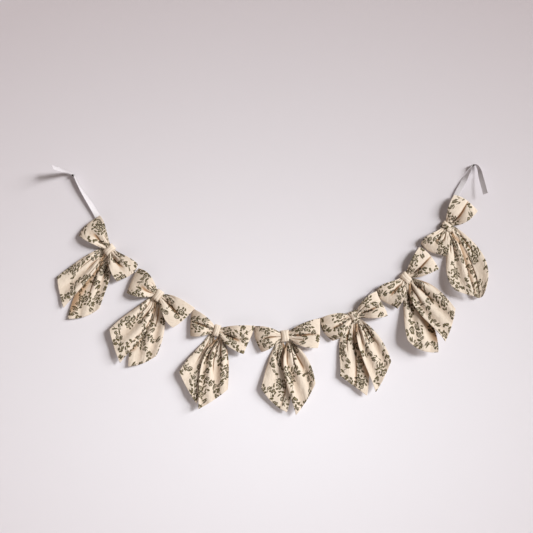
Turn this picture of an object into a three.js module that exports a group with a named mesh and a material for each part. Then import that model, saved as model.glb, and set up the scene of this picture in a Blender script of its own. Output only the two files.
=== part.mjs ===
// A garland of seven fabric bows threaded on one satin ribbon, which hangs from two nails in a wall.
//
// Frame: millimetres, +X along the wall to the right, +Z up, the wall is the plane y = 0 and the
// garland lies in front of it, at negative y. The origin is the point on the wall halfway between
// the two nails.
//
// Each bow is made of three cut pieces: one strip folded into two open loops, one strip whose two
// pointed ends hang down as tails, and a short knot band wrapped round the middle of both. The
// ribbon runs through every knot band, behind the loops, and over the nails.
import * as THREE from 'three';

// ---------- driving dimensions, mm ----------

const CLOTH = 1.2;              // two layers of cotton, turned and pressed
const CLEAR = 0.4;              // space left between pieces that press on each other

// rise: how far above the middle of each knot the ribbon runs.
const RIBBON = { width: 12.7, thick: 1.0, y: -6.0, rise: 1.5, step: 26 };

const NAIL = { shankRadius: 1.0, headRadius: 2.3, proud: 18, headThick: 0.9, sides: 10 };
const NAIL_LEFT = { x: -479, z: -12 };
const NAIL_RIGHT = { x: 479, z: 12 };

// Knot band: a ring of cloth round the waist of the bow.
const BAND = {
  innerHeight: 25,              // inside height at the waist
  backY: -4.4,                  // inside face next to the ribbon
  frontY: -15.2,                // inside face over the gathered loops
  crown: 0.7,                   // how far the two pleats of the band stand up
  backRound: 5,                 // superellipse power of the flat back
  frontRound: 2.6,              // superellipse power of the rounder front
  sides: 14,
};

// Loops: depth of the two layers at the waist and in the puffed part.
const LOOP = {
  waistY: -11.6,                // middle of the two layers inside the band
  waistHalfGap: 2.4,
  waistHalfHeight: 8.8,
  puff: 10.5,                   // half the distance between the layers where the loop is fullest
  lift: 5,                      // how far the middle of the loop moves off the wall
  noseShift: 3,                 // right folds stand forward by this much, left folds lie back
  frontSag: 3.0,                // the front layer curves back at its two edges inside the band
  backSag: 1.4,
  pleatDepth: 1.7,
  pleats: 2.5,
  creaseWidth: 0.17,
  backFlatten: 0.6,             // the back layer follows this share of the edge curves
  across: 5,
  backSteps: 4,                 // from the waist to the outer fold, on the back layer
  frontSteps: 6,                // and on the front layer
};

// Tails: the middle of the tail strip, folded over and stitched to the back of the band.
const TAIL = {
  foldY: -2.0,                  // middle of the cloth where it is stitched
  foldTop: 9,                   // reach of the fold above and below the middle of the knot
  foldLow: -8,
  neckPleat: 0.5,
  neckForward: 0.1,             // share of the way to its hanging place at the neck
  flatShare: 0.75,              // share of the way to the neck that stays flat behind the band
  across: 5,
  along: 7,
};

// Seven bows. x, z: middle of the knot. tilt: degrees, the run of the ribbon through the knot.
// width: of the knot band. next: where the ribbon passes behind the corner shared with the next bow.
const BOWS = [
  { x: -391.7, z: -189.5, tilt: -50, width: 16, next: [-320, -238] },
  { x: -275.5, z: -298.7, tilt: -36, width: 17, next: [-192, -336] },
  { x: -135.4, z: -382.7, tilt: -17, width: 15, next: [-45, -379] },
  { x: 28.3, z: -395.9, tilt: 6, width: 20, next: [111, -360] },
  { x: 193.9, z: -349.1, tilt: 25, width: 20, next: [244, -292] },
  { x: 317.5, z: -256.7, tilt: 45, width: 18, next: [356, -188] },
  { x: 415.9, z: -134.3, tilt: 56, width: 17, next: null },
];

// Loops, one row a side. topX, topZ and lowX, lowZ: the two outer corners, measured from the middle
// of the knot. The last columns say how far an edge bows outwards from a straight line, at one third
// and two thirds of its length: top and low edges counted from the knot, outer fold from the top.
// crease: depth of the dent that runs out from the knot; at: where it crosses, 0 low to 1 top.
const LOOPS = [
  { bow: 0, side: -1, topX: -23, topZ: 81, lowX: -73, lowZ: 34,
    top: [2, 5], low: [1, 2], outer: [4, 5], crease: 4.5, at: 0.36 },
  { bow: 0, side: 1, topX: 68, topZ: -35, lowX: 19, lowZ: -76,
    top: [1, 3], low: [6, 6], outer: [9, 6], crease: 5, at: 0.45 },
  { bow: 1, side: -1, topX: -46, topZ: 64, lowX: -75, lowZ: 6,
    top: [8, 10], low: [5, 5], outer: [3, 2], crease: 5, at: 0.42 },
  { bow: 1, side: 1, topX: 88, topZ: -30, lowX: 36, lowZ: -77,
    top: [7, 5], low: [5, 7], outer: [3, 3], crease: 5, at: 0.5 },
  { bow: 2, side: -1, topX: -58, topZ: 52, lowX: -62, lowZ: -13,
    top: [5, 5], low: [2, 3], outer: [2, 2], crease: 4.5, at: 0.5 },
  { bow: 2, side: 1, topX: 91, topZ: 11, lowX: 65, lowZ: -56,
    top: [3, 3], low: [6, 6], outer: [1, 0], crease: 5, at: 0.42 },
  { bow: 3, side: -1, topX: -72, topZ: 23, lowX: -56, lowZ: -38,
    top: [5, 5], low: [2, 3], outer: [6, 5], crease: 4, at: 0.5 },
  { bow: 3, side: 1, topX: 83, topZ: 42, lowX: 78, lowZ: -28,
    top: [5, 5], low: [7, 6], outer: [2, 3], crease: 5, at: 0.46 },
  { bow: 4, side: -1, topX: -82, topZ: -5, lowX: -52, lowZ: -58,
    top: [7, 6], low: [4, 7], outer: [8, 7], crease: 4, at: 0.5 },
  { bow: 4, side: 1, topX: 53, topZ: 60, lowX: 79, lowZ: 2,
    top: [7, 7], low: [2, 3], outer: [-1, 1], crease: 4.5, at: 0.45 },
  { bow: 5, side: -1, topX: -71, topZ: -33, lowX: -20, lowZ: -74,
    top: [3, 7], low: [6, 5], outer: [8, 4], crease: 5, at: 0.55 },
  { bow: 5, side: 1, topX: 32, topZ: 74, lowX: 78, lowZ: 21,
    top: [3, 3], low: [4, 3], outer: [5, 4], crease: 5, at: 0.42 },
  { bow: 6, side: -1, topX: -63, topZ: -41, lowX: -3, lowZ: -72,
    top: [2, 6], low: [4, 4], outer: [7, 4], crease: 5, at: 0.5 },
  { bow: 6, side: 1, topX: 16, topZ: 75, lowX: 72, lowZ: 37,
    top: [5, 5], low: [8, 7], outer: [6, 5], crease: 4.5, at: 0.4 },
];

// Tails, one row a side, measured from the middle of the knot. neckOut, neckIn: the two edges just
// clear of the band. shoulder, tip: the two corners of the slanted end. The bows of the edges are
// counted outwards from the middle of the tail, from the neck to the end; end: at the middle of the
// slanted end. y, endY: how far the cloth stands off the wall below the neck and at the end. hang:
// share of the tail that still lies close behind the loops.
// pleats, phase, depth: ridges across the tail, their start in turns, and how deep they are.
const TAILS = [
  { bow: 0, side: -1, neckOut: [-22, 3], neckIn: [-16, -11], shoulder: [-125, -65], tip: [-110, -139],
    outer: [4, 3], inner: [2, 2], end: 2, y: -12, endY: -10, hang: 0, pleats: 1.6, phase: 0.1, depth: 4 },
  { bow: 0, side: 1, neckOut: [4, -23], neckIn: [-8, -18], shoulder: [-24, -140], tip: [-100, -165],
    outer: [7, 4], inner: [12, 13], end: 7, y: -7, endY: -8, hang: 0.2, pleats: 2.2, phase: 0.5, depth: 3.5 },
  { bow: 1, side: -1, neckOut: [-17, -2], neckIn: [-13, -15], shoulder: [-115, -82], tip: [-90, -161],
    outer: [1, 3], inner: [13, 9], end: 2, y: -15, endY: -20, hang: 0, pleats: 1.8, phase: 0.2, depth: 4.5 },
  { bow: 1, side: 1, neckOut: [10, -20], neckIn: [-2, -20], shoulder: [-4, -144], tip: [-71, -170],
    outer: [11, 10], inner: [12, 14], end: 5, y: -7, endY: -11, hang: 0.2, pleats: 2.4, phase: 0.4, depth: 3.5 },
  { bow: 2, side: -1, neckOut: [-20, -13], neckIn: [-6, -19], shoulder: [-89, -99], tip: [-48, -174],
    outer: [1, 3], inner: [8, 8], end: 2, y: -8, endY: -19, hang: 0.18, pleats: 1.7, phase: 0.3, depth: 3.5 },
  { bow: 2, side: 1, neckOut: [15, -19], neckIn: [2, -19], shoulder: [27, -140], tip: [-43, -187],
    outer: [8, 6], inner: [17, 13], end: 2, y: -15, endY: -24, hang: 0, pleats: 2.2, phase: 0.1, depth: 5 },
  { bow: 3, side: -1, neckOut: [-17, -15], neckIn: [-3, -19], shoulder: [-57, -124], tip: [4, -182],
    outer: [6, 4], inner: [10, 13], end: 6, y: -8, endY: -15, hang: 0.18, pleats: 1.6, phase: 0.2, depth: 3.5 },
  { bow: 3, side: 1, neckOut: [16, -15], neckIn: [4, -18], shoulder: [72, -113], tip: [26, -188],
    outer: [12, 11], inner: [14, 9], end: 3, y: -15, endY: -20, hang: 0, pleats: 2.2, phase: 0.45, depth: 5 },
  { bow: 4, side: -1, neckOut: [-12, -21], neckIn: [1, -20], shoulder: [-34, -142], tip: [30, -189],
    outer: [15, 8], inner: [8, 12], end: 0, y: -8, endY: -14, hang: 0.18, pleats: 1.8, phase: 0, depth: 3.5 },
  { bow: 4, side: 1, neckOut: [19, -9], neckIn: [9, -16], shoulder: [87, -107], tip: [51, -180],
    outer: [9, 9], inner: [6, 4], end: 2, y: -15, endY: -21, hang: 0, pleats: 2, phase: 0.4, depth: 5 },
  { bow: 5, side: -1, neckOut: [-8, -20], neckIn: [5, -19], shoulder: [2, -148], tip: [75, -177],
    outer: [1, 3], inner: [6, 12], end: 9, y: -9, endY: -31, hang: 0.18, pleats: 2, phase: 0.3, depth: 3.5 },
  { bow: 5, side: 1, neckOut: [22, -3], neckIn: [15, -12], shoulder: [115, -74], tip: [91, -151],
    outer: [12, 10], inner: [15, 8], end: 3, y: -16, endY: -36, hang: 0, pleats: 2.3, phase: 0.1, depth: 5 },
  { bow: 6, side: -1, neckOut: [-6, -20], neckIn: [7, -18], shoulder: [18, -152], tip: [66, -167],
    outer: [3, 12], inner: [2, 0], end: 1, y: -6.6, endY: -28, hang: 0.08, pleats: 1.4, phase: 0.3, depth: 2.5 },
  { bow: 6, side: 1, neckOut: [22, -2], neckIn: [17, -8], shoulder: [87, -163], tip: [66, -167],
    outer: [29, 34], inner: [12, 12], end: 5, y: -4.5, endY: -14, hang: 0.3, pleats: 1.6, phase: 0.5, depth: 3.5 },
];

// Where the ribbon runs before the first bow and after the last one. turn: degrees, 0 with its flat
// side to the wall, 90 with its flat side on a nail.
const RIBBON_START = [
  { x: -520.7, y: -62, z: 4.3, turn: 60 },
  { x: -510, y: -45, z: 1.2, turn: 62 },
  { x: -500.2, y: -28.5, z: -1.4, turn: 70 },
  { x: -489.5, y: -13.2, z: -4.1, turn: 84 },
  { x: -478.4, y: -9, z: -10.25, turn: 90 },
  { x: -477.3, y: -9, z: -11.6, turn: 90 },
  { x: -468.5, y: -8, z: -31, turn: 80 },
  { x: -455, y: -6.4, z: -54.5, turn: 60 },
  { x: -438.5, y: -6, z: -80, turn: 36 },
  { x: -420, y: RIBBON.y, z: -113, turn: 8 },
];
const RIBBON_END = [
  { x: 439.5, y: RIBBON.y, z: -58, turn: 0 },
  { x: 454, y: -6.4, z: -31, turn: 14 },
  { x: 466.5, y: -7.8, z: -7.5, turn: 58 },
  { x: 477.4, y: -9, z: 12.9, turn: 90 },
  { x: 479, y: -9, z: 13.85, turn: 90 },
  { x: 486, y: -9.6, z: 12.8, turn: 102 },
  { x: 492.4, y: -13, z: 1.6, turn: 122 },
  { x: 495.2, y: -18, z: -12, turn: 138 },
  { x: 499, y: -24, z: -29.4, turn: 144 },
  { x: 505.4, y: -30, z: -56.6, turn: 146 },
];

// ---------- materials ----------

const cotton = (color) => new THREE.MeshStandardMaterial({ color, roughness: 0.95, metalness: 0 });
const satin = new THREE.MeshStandardMaterial({ color: 0xf1ebe9, roughness: 0.45, metalness: 0 });
const darkSteel = new THREE.MeshStandardMaterial({ color: 0x2b2623, roughness: 0.4, metalness: 0.9 });
const LOOP_COLOR = 0xdccab0;
const TAIL_COLOR = 0xe5d6c0;
const BAND_COLOR = 0xd2bfa3;

// ---------- small helpers ----------

const mix = (a, b, t) => a + (b - a) * t;
const ramp = (from, to, t) => THREE.MathUtils.smoothstep(t, from, to);

/** Cubic edge from a to b ([x, z]) that bows to its left by bow[0] and bow[1] at its thirds. */
function edge(a, b, bow) {
  const dx = b[0] - a[0];
  const dz = b[1] - a[1];
  const length = Math.hypot(dx, dz);
  return (s) => {
    const first = 13.5 * s * (s - 2 / 3) * (s - 1) * bow[0];
    const second = -13.5 * s * (s - 1 / 3) * (s - 1) * bow[1];
    const off = (first + second) / length;
    return [a[0] + dx * s - dz * off, a[1] + dz * s + dx * off];
  };
}

/** Turns a point given along (a) and across (b) the ribbon at a knot into [x, z]. */
function onTilt(tilt, a, b) {
  const angle = THREE.MathUtils.degToRad(tilt);
  return [a * Math.cos(angle) - b * Math.sin(angle), a * Math.sin(angle) + b * Math.cos(angle)];
}

/**
 * Closed solid of a sheet of cloth: surface(u, w) is its middle, sampled at every value of us and
 * ws, and the two faces lie half the thickness to either side of it.
 */
function clothSolid(surface, us, ws, thickness) {
  const tiny = 1e-3;
  const rows = us.length;
  const columns = ws.length;
  const points = [];
  for (const face of [0.5, -0.5]) {
    for (const u of us) {
      for (const w of ws) {
        const alongU = surface(u + tiny, w).sub(surface(u - tiny, w));
        const alongW = surface(u, w + tiny).sub(surface(u, w - tiny));
        const normal = alongU.cross(alongW).normalize();
        points.push(surface(u, w).addScaledVector(normal, face * thickness));
      }
    }
  }
  const at = (face, row, column) => face * rows * columns + row * columns + column;
  const index = [];
  const quad = (a, b, c, d) => index.push(a, b, c, a, c, d);
  for (let i = 0; i < rows - 1; i += 1) {
    for (let j = 0; j < columns - 1; j += 1) {
      quad(at(0, i, j), at(0, i + 1, j), at(0, i + 1, j + 1), at(0, i, j + 1));
      quad(at(1, i, j), at(1, i, j + 1), at(1, i + 1, j + 1), at(1, i + 1, j));
    }
    quad(at(0, i, 0), at(1, i, 0), at(1, i + 1, 0), at(0, i + 1, 0));
    quad(at(0, i, columns - 1), at(0, i + 1, columns - 1), at(1, i + 1, columns - 1), at(1, i, columns - 1));
  }
  for (let j = 0; j < columns - 1; j += 1) {
    quad(at(0, 0, j), at(0, 0, j + 1), at(1, 0, j + 1), at(1, 0, j));
    quad(at(0, rows - 1, j), at(1, rows - 1, j), at(1, rows - 1, j + 1), at(0, rows - 1, j + 1));
  }
  return solidFrom(points, index);
}

/** Geometry of a closed body from its corner points and triangle corners. */
function solidFrom(points, index) {
  const geometry = new THREE.BufferGeometry().setFromPoints(points);
  geometry.setIndex(index);
  geometry.computeVertexNormals();
  return geometry;
}

/** Even steps from 0 to 1. */
const steps = (count) => Array.from({ length: count + 1 }, (_, i) => i / count);

// ---------- loops ----------

/** One side of the loop strip: (angle, w) to a point, angle 0 back waist, PI / 2 fold, PI front. */
function loopSide(bow, row) {
  const { side } = row;
  const half = bow.width / 2;
  const waistTop = onTilt(bow.tilt, side * half, LOOP.waistHalfHeight);
  const waistLow = onTilt(bow.tilt, side * half, -LOOP.waistHalfHeight);
  const topCorner = [row.topX, row.topZ];
  const lowCorner = [row.lowX, row.lowZ];
  const edges = [1, LOOP.backFlatten].map((share) => ({
    top: edge(waistTop, topCorner, row.top.map((bowed) => bowed * side * share)),
    low: edge(waistLow, lowCorner, row.low.map((bowed) => -bowed * side * share)),
  }));
  const fold = edge(topCorner, lowCorner, row.outer.map((bowed) => bowed * side));
  return (angle, w) => {
    const s = Math.sin(angle);
    const front = angle > Math.PI / 2;
    const { top, low } = edges[front ? 0 : 1];
    const upper = top(s);
    const lower = low(s);
    const bulge = fold(1 - w);
    const pull = s ** 3;
    const x = mix(lower[0], upper[0], w) + pull * (bulge[0] - mix(lowCorner[0], topCorner[0], w));
    const z = mix(lower[1], upper[1], w) + pull * (bulge[1] - mix(lowCorner[1], topCorner[1], w));
    const halfGap = LOOP.waistHalfGap + (LOOP.puff - LOOP.waistHalfGap) * ramp(0, 0.6, s);
    const middle = LOOP.waistY - LOOP.lift * Math.sin(0.8 * Math.PI * s) - side * LOOP.noseShift * s ** 3;
    const nearWaist = 1 - ramp(0, 0.35, s);
    const edgeward = (2 * w - 1) ** 2;
    const sag = (front ? LOOP.frontSag : LOOP.backSag) * edgeward * nearWaist;
    const pleat = LOOP.pleatDepth * Math.cos(2 * Math.PI * LOOP.pleats * (w - 0.5))
      * ramp(0.02, 0.2, s) * (1 - ramp(0.2, 0.7, s));
    const dent = row.crease * Math.exp(-(((w - row.at) / LOOP.creaseWidth) ** 2))
      * ramp(0.02, 0.3, s) * (1 - ramp(0.45, 0.95, s));
    const shape = front ? dent - pleat : -0.3 * pleat;
    return new THREE.Vector3(x, middle + Math.cos(angle) * halfGap + sag + shape, z);
  };
}

/** The folded strip: back middle, one loop, through the knot, the other loop, back middle. */
function loopStrip(bow, left, right) {
  const leftSide = loopSide(bow, left);
  const rightSide = loopSide(bow, right);
  const seam = CLOTH / 2 + CLEAR / 2;
  const butt = (side, w) => {
    const point = (side < 0 ? leftSide : rightSide)(0, w);
    const run = onTilt(bow.tilt, side * (bow.width / 2 - seam), 0);
    return point.sub(new THREE.Vector3(run[0], 0, run[1]));
  };
  const angles = [
    ...steps(LOOP.backSteps).map((share) => (share * Math.PI) / 2),
    ...steps(LOOP.frontSteps).slice(1).map((share) => ((1 + share) * Math.PI) / 2),
  ];
  // u: 0 left seam, 1 left back waist, 2 left front waist, 3 right front waist, 4 right back waist,
  // 5 right seam.
  const surface = (u, w) => {
    if (u < 1) return butt(-1, w).lerp(leftSide(0, w), u);
    if (u <= 2) return leftSide((u - 1) * Math.PI, w);
    if (u < 3) return leftSide(Math.PI, w).lerp(rightSide(Math.PI, w), u - 2);
    if (u <= 4) return rightSide((4 - u) * Math.PI, w);
    return rightSide(0, w).lerp(butt(1, w), u - 4);
  };
  const around = angles.map((angle) => angle / Math.PI);
  const us = [0, ...around.map((share) => 1 + share), ...around.map((share) => 4 - share).reverse(), 5];
  return clothSolid(surface, us, steps(LOOP.across), CLOTH);
}

// ---------- tails ----------

/** One hanging tail: (t, w) to a point, t from 0 at the neck to 1 at the end, w from 0 outer edge. */
function tailSide(row) {
  const { side } = row;
  const outer = edge(row.neckOut, row.shoulder, row.outer.map((bowed) => bowed * side));
  const inner = edge(row.neckIn, row.tip, row.inner.map((bowed) => -bowed * side));
  const end = edge(row.shoulder, row.tip, [row.end * side, row.end * side]);
  return (t, w) => {
    const out = outer(t);
    const within = inner(t);
    const cut = end(w);
    const pull = t ** 4;
    const x = mix(out[0], within[0], w) + pull * (cut[0] - mix(row.shoulder[0], row.tip[0], w));
    const z = mix(out[1], within[1], w) + pull * (cut[1] - mix(row.shoulder[1], row.tip[1], w));
    const hang = ramp(row.hang, row.hang + 0.36, t);
    const neckY = mix(TAIL.foldY, row.y, TAIL.neckForward);
    const stand = mix(mix(neckY, row.y, hang), row.endY, ramp(row.hang + 0.16, 1, t));
    const wave = Math.cos(2 * Math.PI * (row.pleats * w + row.phase));
    const depth = mix(TAIL.neckPleat, row.depth, hang) * (1 - 0.45 * ramp(0.6, 1, t));
    return new THREE.Vector3(x, stand + depth * wave, z);
  };
}

/** The tail strip: left end, up to the knot, folded over behind it, down to the right end. */
function tailStrip(bow, left, right) {
  const leftSide = tailSide(left);
  const rightSide = tailSide(right);
  const fold = (w) => {
    const [x, z] = onTilt(bow.tilt, 0, mix(TAIL.foldTop, TAIL.foldLow, w));
    return new THREE.Vector3(x, TAIL.foldY, z);
  };
  const behindBand = (side, w) => {
    const point = fold(w).lerp(side(0, w), TAIL.flatShare);
    return point.setY(TAIL.foldY);
  };
  // The strip in order: left end to left neck, up behind the band, the fold, down behind the
  // band, right neck to right end.
  const { along } = TAIL;
  const stations = [
    (w) => leftSide(0, w), (w) => behindBand(leftSide, w), fold,
    (w) => behindBand(rightSide, w), (w) => rightSide(0, w),
  ];
  const surface = (u, w) => {
    if (u <= along) return leftSide(1 - u / along, w);
    const past = u - along;
    const span = Math.floor(past);
    if (span >= stations.length - 1) return rightSide((past - stations.length + 1) / along, w);
    return stations[span](w).lerp(stations[span + 1](w), past - span);
  };
  const us = Array.from({ length: 2 * along + stations.length }, (_, i) => i);
  return clothSolid(surface, us, steps(TAIL.across), CLOTH);
}

// ---------- knot band ----------

/** A closed ring of cloth round the waist, with two soft pleats on its outer face. */
function knotBand(bow) {
  const half = bow.width / 2;
  const section = [
    { a: -half, cloth: 0, raised: 0 }, { a: -half, cloth: 1, raised: 0 },
    { a: -half / 2, cloth: 1, raised: 1 }, { a: 0, cloth: 1, raised: 0 },
    { a: half / 2, cloth: 1, raised: 1 }, { a: half, cloth: 1, raised: 0 },
    { a: half, cloth: 0, raised: 0 },
  ];
  const middleY = (BAND.backY + BAND.frontY) / 2;
  const halfDepth = Math.abs(BAND.frontY - BAND.backY) / 2;
  const points = [];
  for (let i = 0; i < BAND.sides; i += 1) {
    const angle = ((i + 0.5) / BAND.sides) * 2 * Math.PI;
    const power = 2 / (Math.sin(angle) > 0 ? BAND.backRound : BAND.frontRound);
    const squarish = (value) => Math.sign(value) * Math.abs(value) ** power;
    const crown = BAND.crown * Math.max(0, -Math.sin(angle));
    for (const { a, cloth, raised } of section) {
      const out = cloth * CLOTH + raised * crown;
      const b = (BAND.innerHeight / 2 + out) * squarish(Math.cos(angle));
      const y = middleY + (halfDepth + out) * squarish(Math.sin(angle));
      const [x, z] = onTilt(bow.tilt, a, b);
      points.push(new THREE.Vector3(x, y, z));
    }
  }
  const count = section.length;
  const index = [];
  for (let i = 0; i < BAND.sides; i += 1) {
    const here = i * count;
    const next = ((i + 1) % BAND.sides) * count;
    for (let j = 0; j < count; j += 1) {
      const k = (j + 1) % count;
      index.push(here + j, here + k, next + k, here + j, next + k, next + j);
    }
  }
  return solidFrom(points, index);
}

// ---------- ribbon ----------

/** A flat ribbon swept along its route, turned about its length as it nears the nails. */
function ribbonSolid() {
  const throughBows = BOWS.flatMap(({ x, z, tilt, next }) => {
    const [dx, dz] = onTilt(tilt, 0, RIBBON.rise);
    const knot = { x: x + dx, y: RIBBON.y, z: z + dz, turn: 0 };
    return next ? [knot, { x: next[0], y: RIBBON.y, z: next[1], turn: 0 }] : [knot];
  });
  const route = [...RIBBON_START, ...throughBows, ...RIBBON_END];
  const curve = new THREE.CatmullRomCurve3(route.map(({ x, y, z }) => new THREE.Vector3(x, y, z)));
  const wallward = new THREE.Vector3(0, 1, 0);
  const points = [];
  const addStation = (t, turn) => {
    const run = curve.getTangent(t);
    const flat = run.clone().cross(wallward).normalize();
    const angle = THREE.MathUtils.degToRad(turn);
    const wide = flat.multiplyScalar(Math.cos(angle)).addScaledVector(wallward, Math.sin(angle));
    wide.addScaledVector(run, -wide.dot(run)).normalize();
    const thin = run.clone().cross(wide);
    for (const [w, n] of [[-0.5, -0.5], [0.5, -0.5], [0.5, 0.5], [-0.5, 0.5]]) {
      points.push(curve.getPoint(t)
        .addScaledVector(wide, w * RIBBON.width)
        .addScaledVector(thin, n * RIBBON.thick));
    }
  };
  const spans = route.length - 1;
  route.forEach((from, i) => {
    addStation(i / spans, from.turn);
    if (i === spans) return;
    const to = route[i + 1];
    const length = Math.hypot(to.x - from.x, to.y - from.y, to.z - from.z);
    const parts = Math.max(1, Math.round(length / RIBBON.step));
    for (let j = 1; j < parts; j += 1) {
      addStation((i + j / parts) / spans, mix(from.turn, to.turn, j / parts));
    }
  });
  const last = points.length - 4;
  const index = [0, 3, 2, 0, 2, 1, last, last + 1, last + 2, last, last + 2, last + 3];
  // Both flat faces are split along the same diagonal, so that a twist keeps them apart.
  for (let i = 0; i < last; i += 4) {
    for (const [j, k] of [[0, 1], [1, 2], [3, 0]]) {
      index.push(i + j, i + k, i + 4 + k, i + j, i + 4 + k, i + 4 + j);
    }
    index.push(i + 2, i + 3, i + 6, i + 3, i + 7, i + 6);
  }
  return solidFrom(points, index);
}

// ---------- nails ----------

/** A nail on the Y axis, its cut end on the wall and its head towards the room. */
function nailSolid() {
  const { shankRadius, headRadius, proud, headThick } = NAIL;
  const profile = [
    [0, -proud], [headRadius * 0.7, -proud], [headRadius, -proud + headThick * 0.4],
    [headRadius, -proud + headThick], [shankRadius, -proud + headThick * 1.4],
    [shankRadius, 0], [0, 0],
  ];
  return new THREE.LatheGeometry(profile.map(([r, y]) => new THREE.Vector2(r, y)), NAIL.sides);
}

// ---------- the garland ----------

const garland = new THREE.Group();

/** Adds one named piece to a group. */
function addPiece(parent, name, geometry, material) {
  const mesh = new THREE.Mesh(geometry, material);
  mesh.name = name;
  parent.add(mesh);
  return mesh;
}

BOWS.forEach((bow, i) => {
  const group = new THREE.Group();
  group.position.set(bow.x, 0, bow.z);
  const [leftLoop, rightLoop] = LOOPS.filter((row) => row.bow === i);
  const [leftTail, rightTail] = TAILS.filter((row) => row.bow === i);
  const number = i + 1;
  addPiece(group, `loops_${number}`, loopStrip(bow, leftLoop, rightLoop), cotton(LOOP_COLOR));
  addPiece(group, `tails_${number}`, tailStrip(bow, leftTail, rightTail), cotton(TAIL_COLOR));
  addPiece(group, `knot_${number}`, knotBand(bow), cotton(BAND_COLOR));
  garland.add(group);
});

addPiece(garland, 'ribbon', ribbonSolid(), satin);
addPiece(garland, 'nail_left', nailSolid(), darkSteel).position.set(NAIL_LEFT.x, 0, NAIL_LEFT.z);
addPiece(garland, 'nail_right', nailSolid(), darkSteel).position.set(NAIL_RIGHT.x, 0, NAIL_RIGHT.z);

export default garland;
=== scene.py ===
"""A garland of seven floral cotton bows on a white satin ribbon that hangs between two nails.

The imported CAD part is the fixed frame: +X runs along the wall to the right, +Z is up, the wall is
the plane y = 0 and the garland lies in front of it, at negative y. Sizes are in millimetres, but
for the studio's, and are turned into metres when a mesh is made.
"""
import logging
import math
from dataclasses import dataclass, replace
from enum import Enum
from typing import Any, Iterable, Optional, Sequence

import bmesh
import bpy
import numpy as np
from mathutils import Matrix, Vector


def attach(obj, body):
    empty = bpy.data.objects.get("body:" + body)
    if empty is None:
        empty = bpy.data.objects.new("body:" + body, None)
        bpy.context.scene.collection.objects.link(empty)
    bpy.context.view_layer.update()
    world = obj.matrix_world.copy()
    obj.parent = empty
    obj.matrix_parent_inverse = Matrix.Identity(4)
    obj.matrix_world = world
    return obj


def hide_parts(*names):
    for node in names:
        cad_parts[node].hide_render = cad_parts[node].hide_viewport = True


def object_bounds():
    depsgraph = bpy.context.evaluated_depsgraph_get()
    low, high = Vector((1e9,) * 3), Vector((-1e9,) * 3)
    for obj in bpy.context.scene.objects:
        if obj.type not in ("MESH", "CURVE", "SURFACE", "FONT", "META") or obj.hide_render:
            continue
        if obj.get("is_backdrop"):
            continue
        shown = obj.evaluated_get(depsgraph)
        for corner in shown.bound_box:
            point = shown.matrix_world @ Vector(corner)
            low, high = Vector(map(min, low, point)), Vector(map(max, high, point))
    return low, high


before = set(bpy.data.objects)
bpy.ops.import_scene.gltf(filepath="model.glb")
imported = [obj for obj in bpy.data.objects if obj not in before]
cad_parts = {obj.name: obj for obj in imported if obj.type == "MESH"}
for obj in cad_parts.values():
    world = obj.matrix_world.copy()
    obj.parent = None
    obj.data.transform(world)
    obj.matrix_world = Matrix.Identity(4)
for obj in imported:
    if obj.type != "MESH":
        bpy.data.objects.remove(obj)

LOG = logging.getLogger("garland")
Array = np.ndarray
Pair = tuple[float, float]
Triple = tuple[float, float, float]
Piece = bpy.types.Object
Material = bpy.types.Material
Node = bpy.types.Node

MM = 0.001
CLOTH_UV = "cloth"
# Name of the mesh attribute that holds the cloth's painted shade, from 0 to 1.
PAINTED_SHADE = "painted_shade_amount"
BODY = "root"


class Slot(Enum):
    """The record's material slots."""

    COTTON = "printed_cotton"
    SATIN = "satin_ribbon"
    STEEL = "nail_steel"


# ---------------------------------------------------------------- small helpers


def mix(a: Array, b: Array, t: Array) -> Array:
    """Returns the value a share t of the way from a to b."""
    return a + (b - a) * t


def ramp(start: float, end: float, t: Array) -> Array:
    """Returns a smooth step from 0 at start to 1 at end."""
    share = np.clip((np.asarray(t, float) - start) / (end - start), 0, 1)
    return share * share * (3 - 2 * share)


def bell(t: Array, middle: Array, width: float) -> Array:
    """Returns a smooth hump, 1 at its middle."""
    return np.exp(-(((t - middle) / width) ** 2))


def turned(x: Any, y: Any, angle: float) -> tuple[Any, Any]:
    """Turns x and y, which may be numbers, arrays or signals, by an angle in radians."""
    c, s = math.cos(angle), math.sin(angle)
    return x * c - y * s, x * s + y * c


def on_tilt(tilt: float, along: float, across: float) -> Array:
    """Turns a place along and across the ribbon at a knot, tilted in degrees, into x and z."""
    return np.array(turned(along, across, math.radians(tilt)))


def unit(vectors: Array) -> Array:
    """Returns vectors, kept in the last axis, at length 1."""
    return vectors / np.linalg.norm(vectors, axis=-1, keepdims=True)


def edge(start: Sequence[float], end: Sequence[float], bow: Pair, s: Array,
         sign: float = 1.0) -> Array:
    """Finds points on a cubic edge of cloth that bows to its left at its thirds.

    Args:
        start: x and z where it starts.
        end: x and z where it ends.
        bow: How far it bows at its first and its second third.
        s: Shares of its length, of any shape.
        sign: What the bow is multiplied by.

    Returns:
        x and z of each point, in a last axis of two.
    """
    start, end = np.asarray(start, float), np.asarray(end, float)
    run = end - start
    first = 13.5 * s * (s - 2 / 3) * (s - 1) * (bow[0] * sign)
    second = -13.5 * s * (s - 1 / 3) * (s - 1) * (bow[1] * sign)
    off = (first + second) / np.hypot(*run)
    return start + s[..., None] * run + off[..., None] * np.array([-run[1], run[0]])


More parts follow.
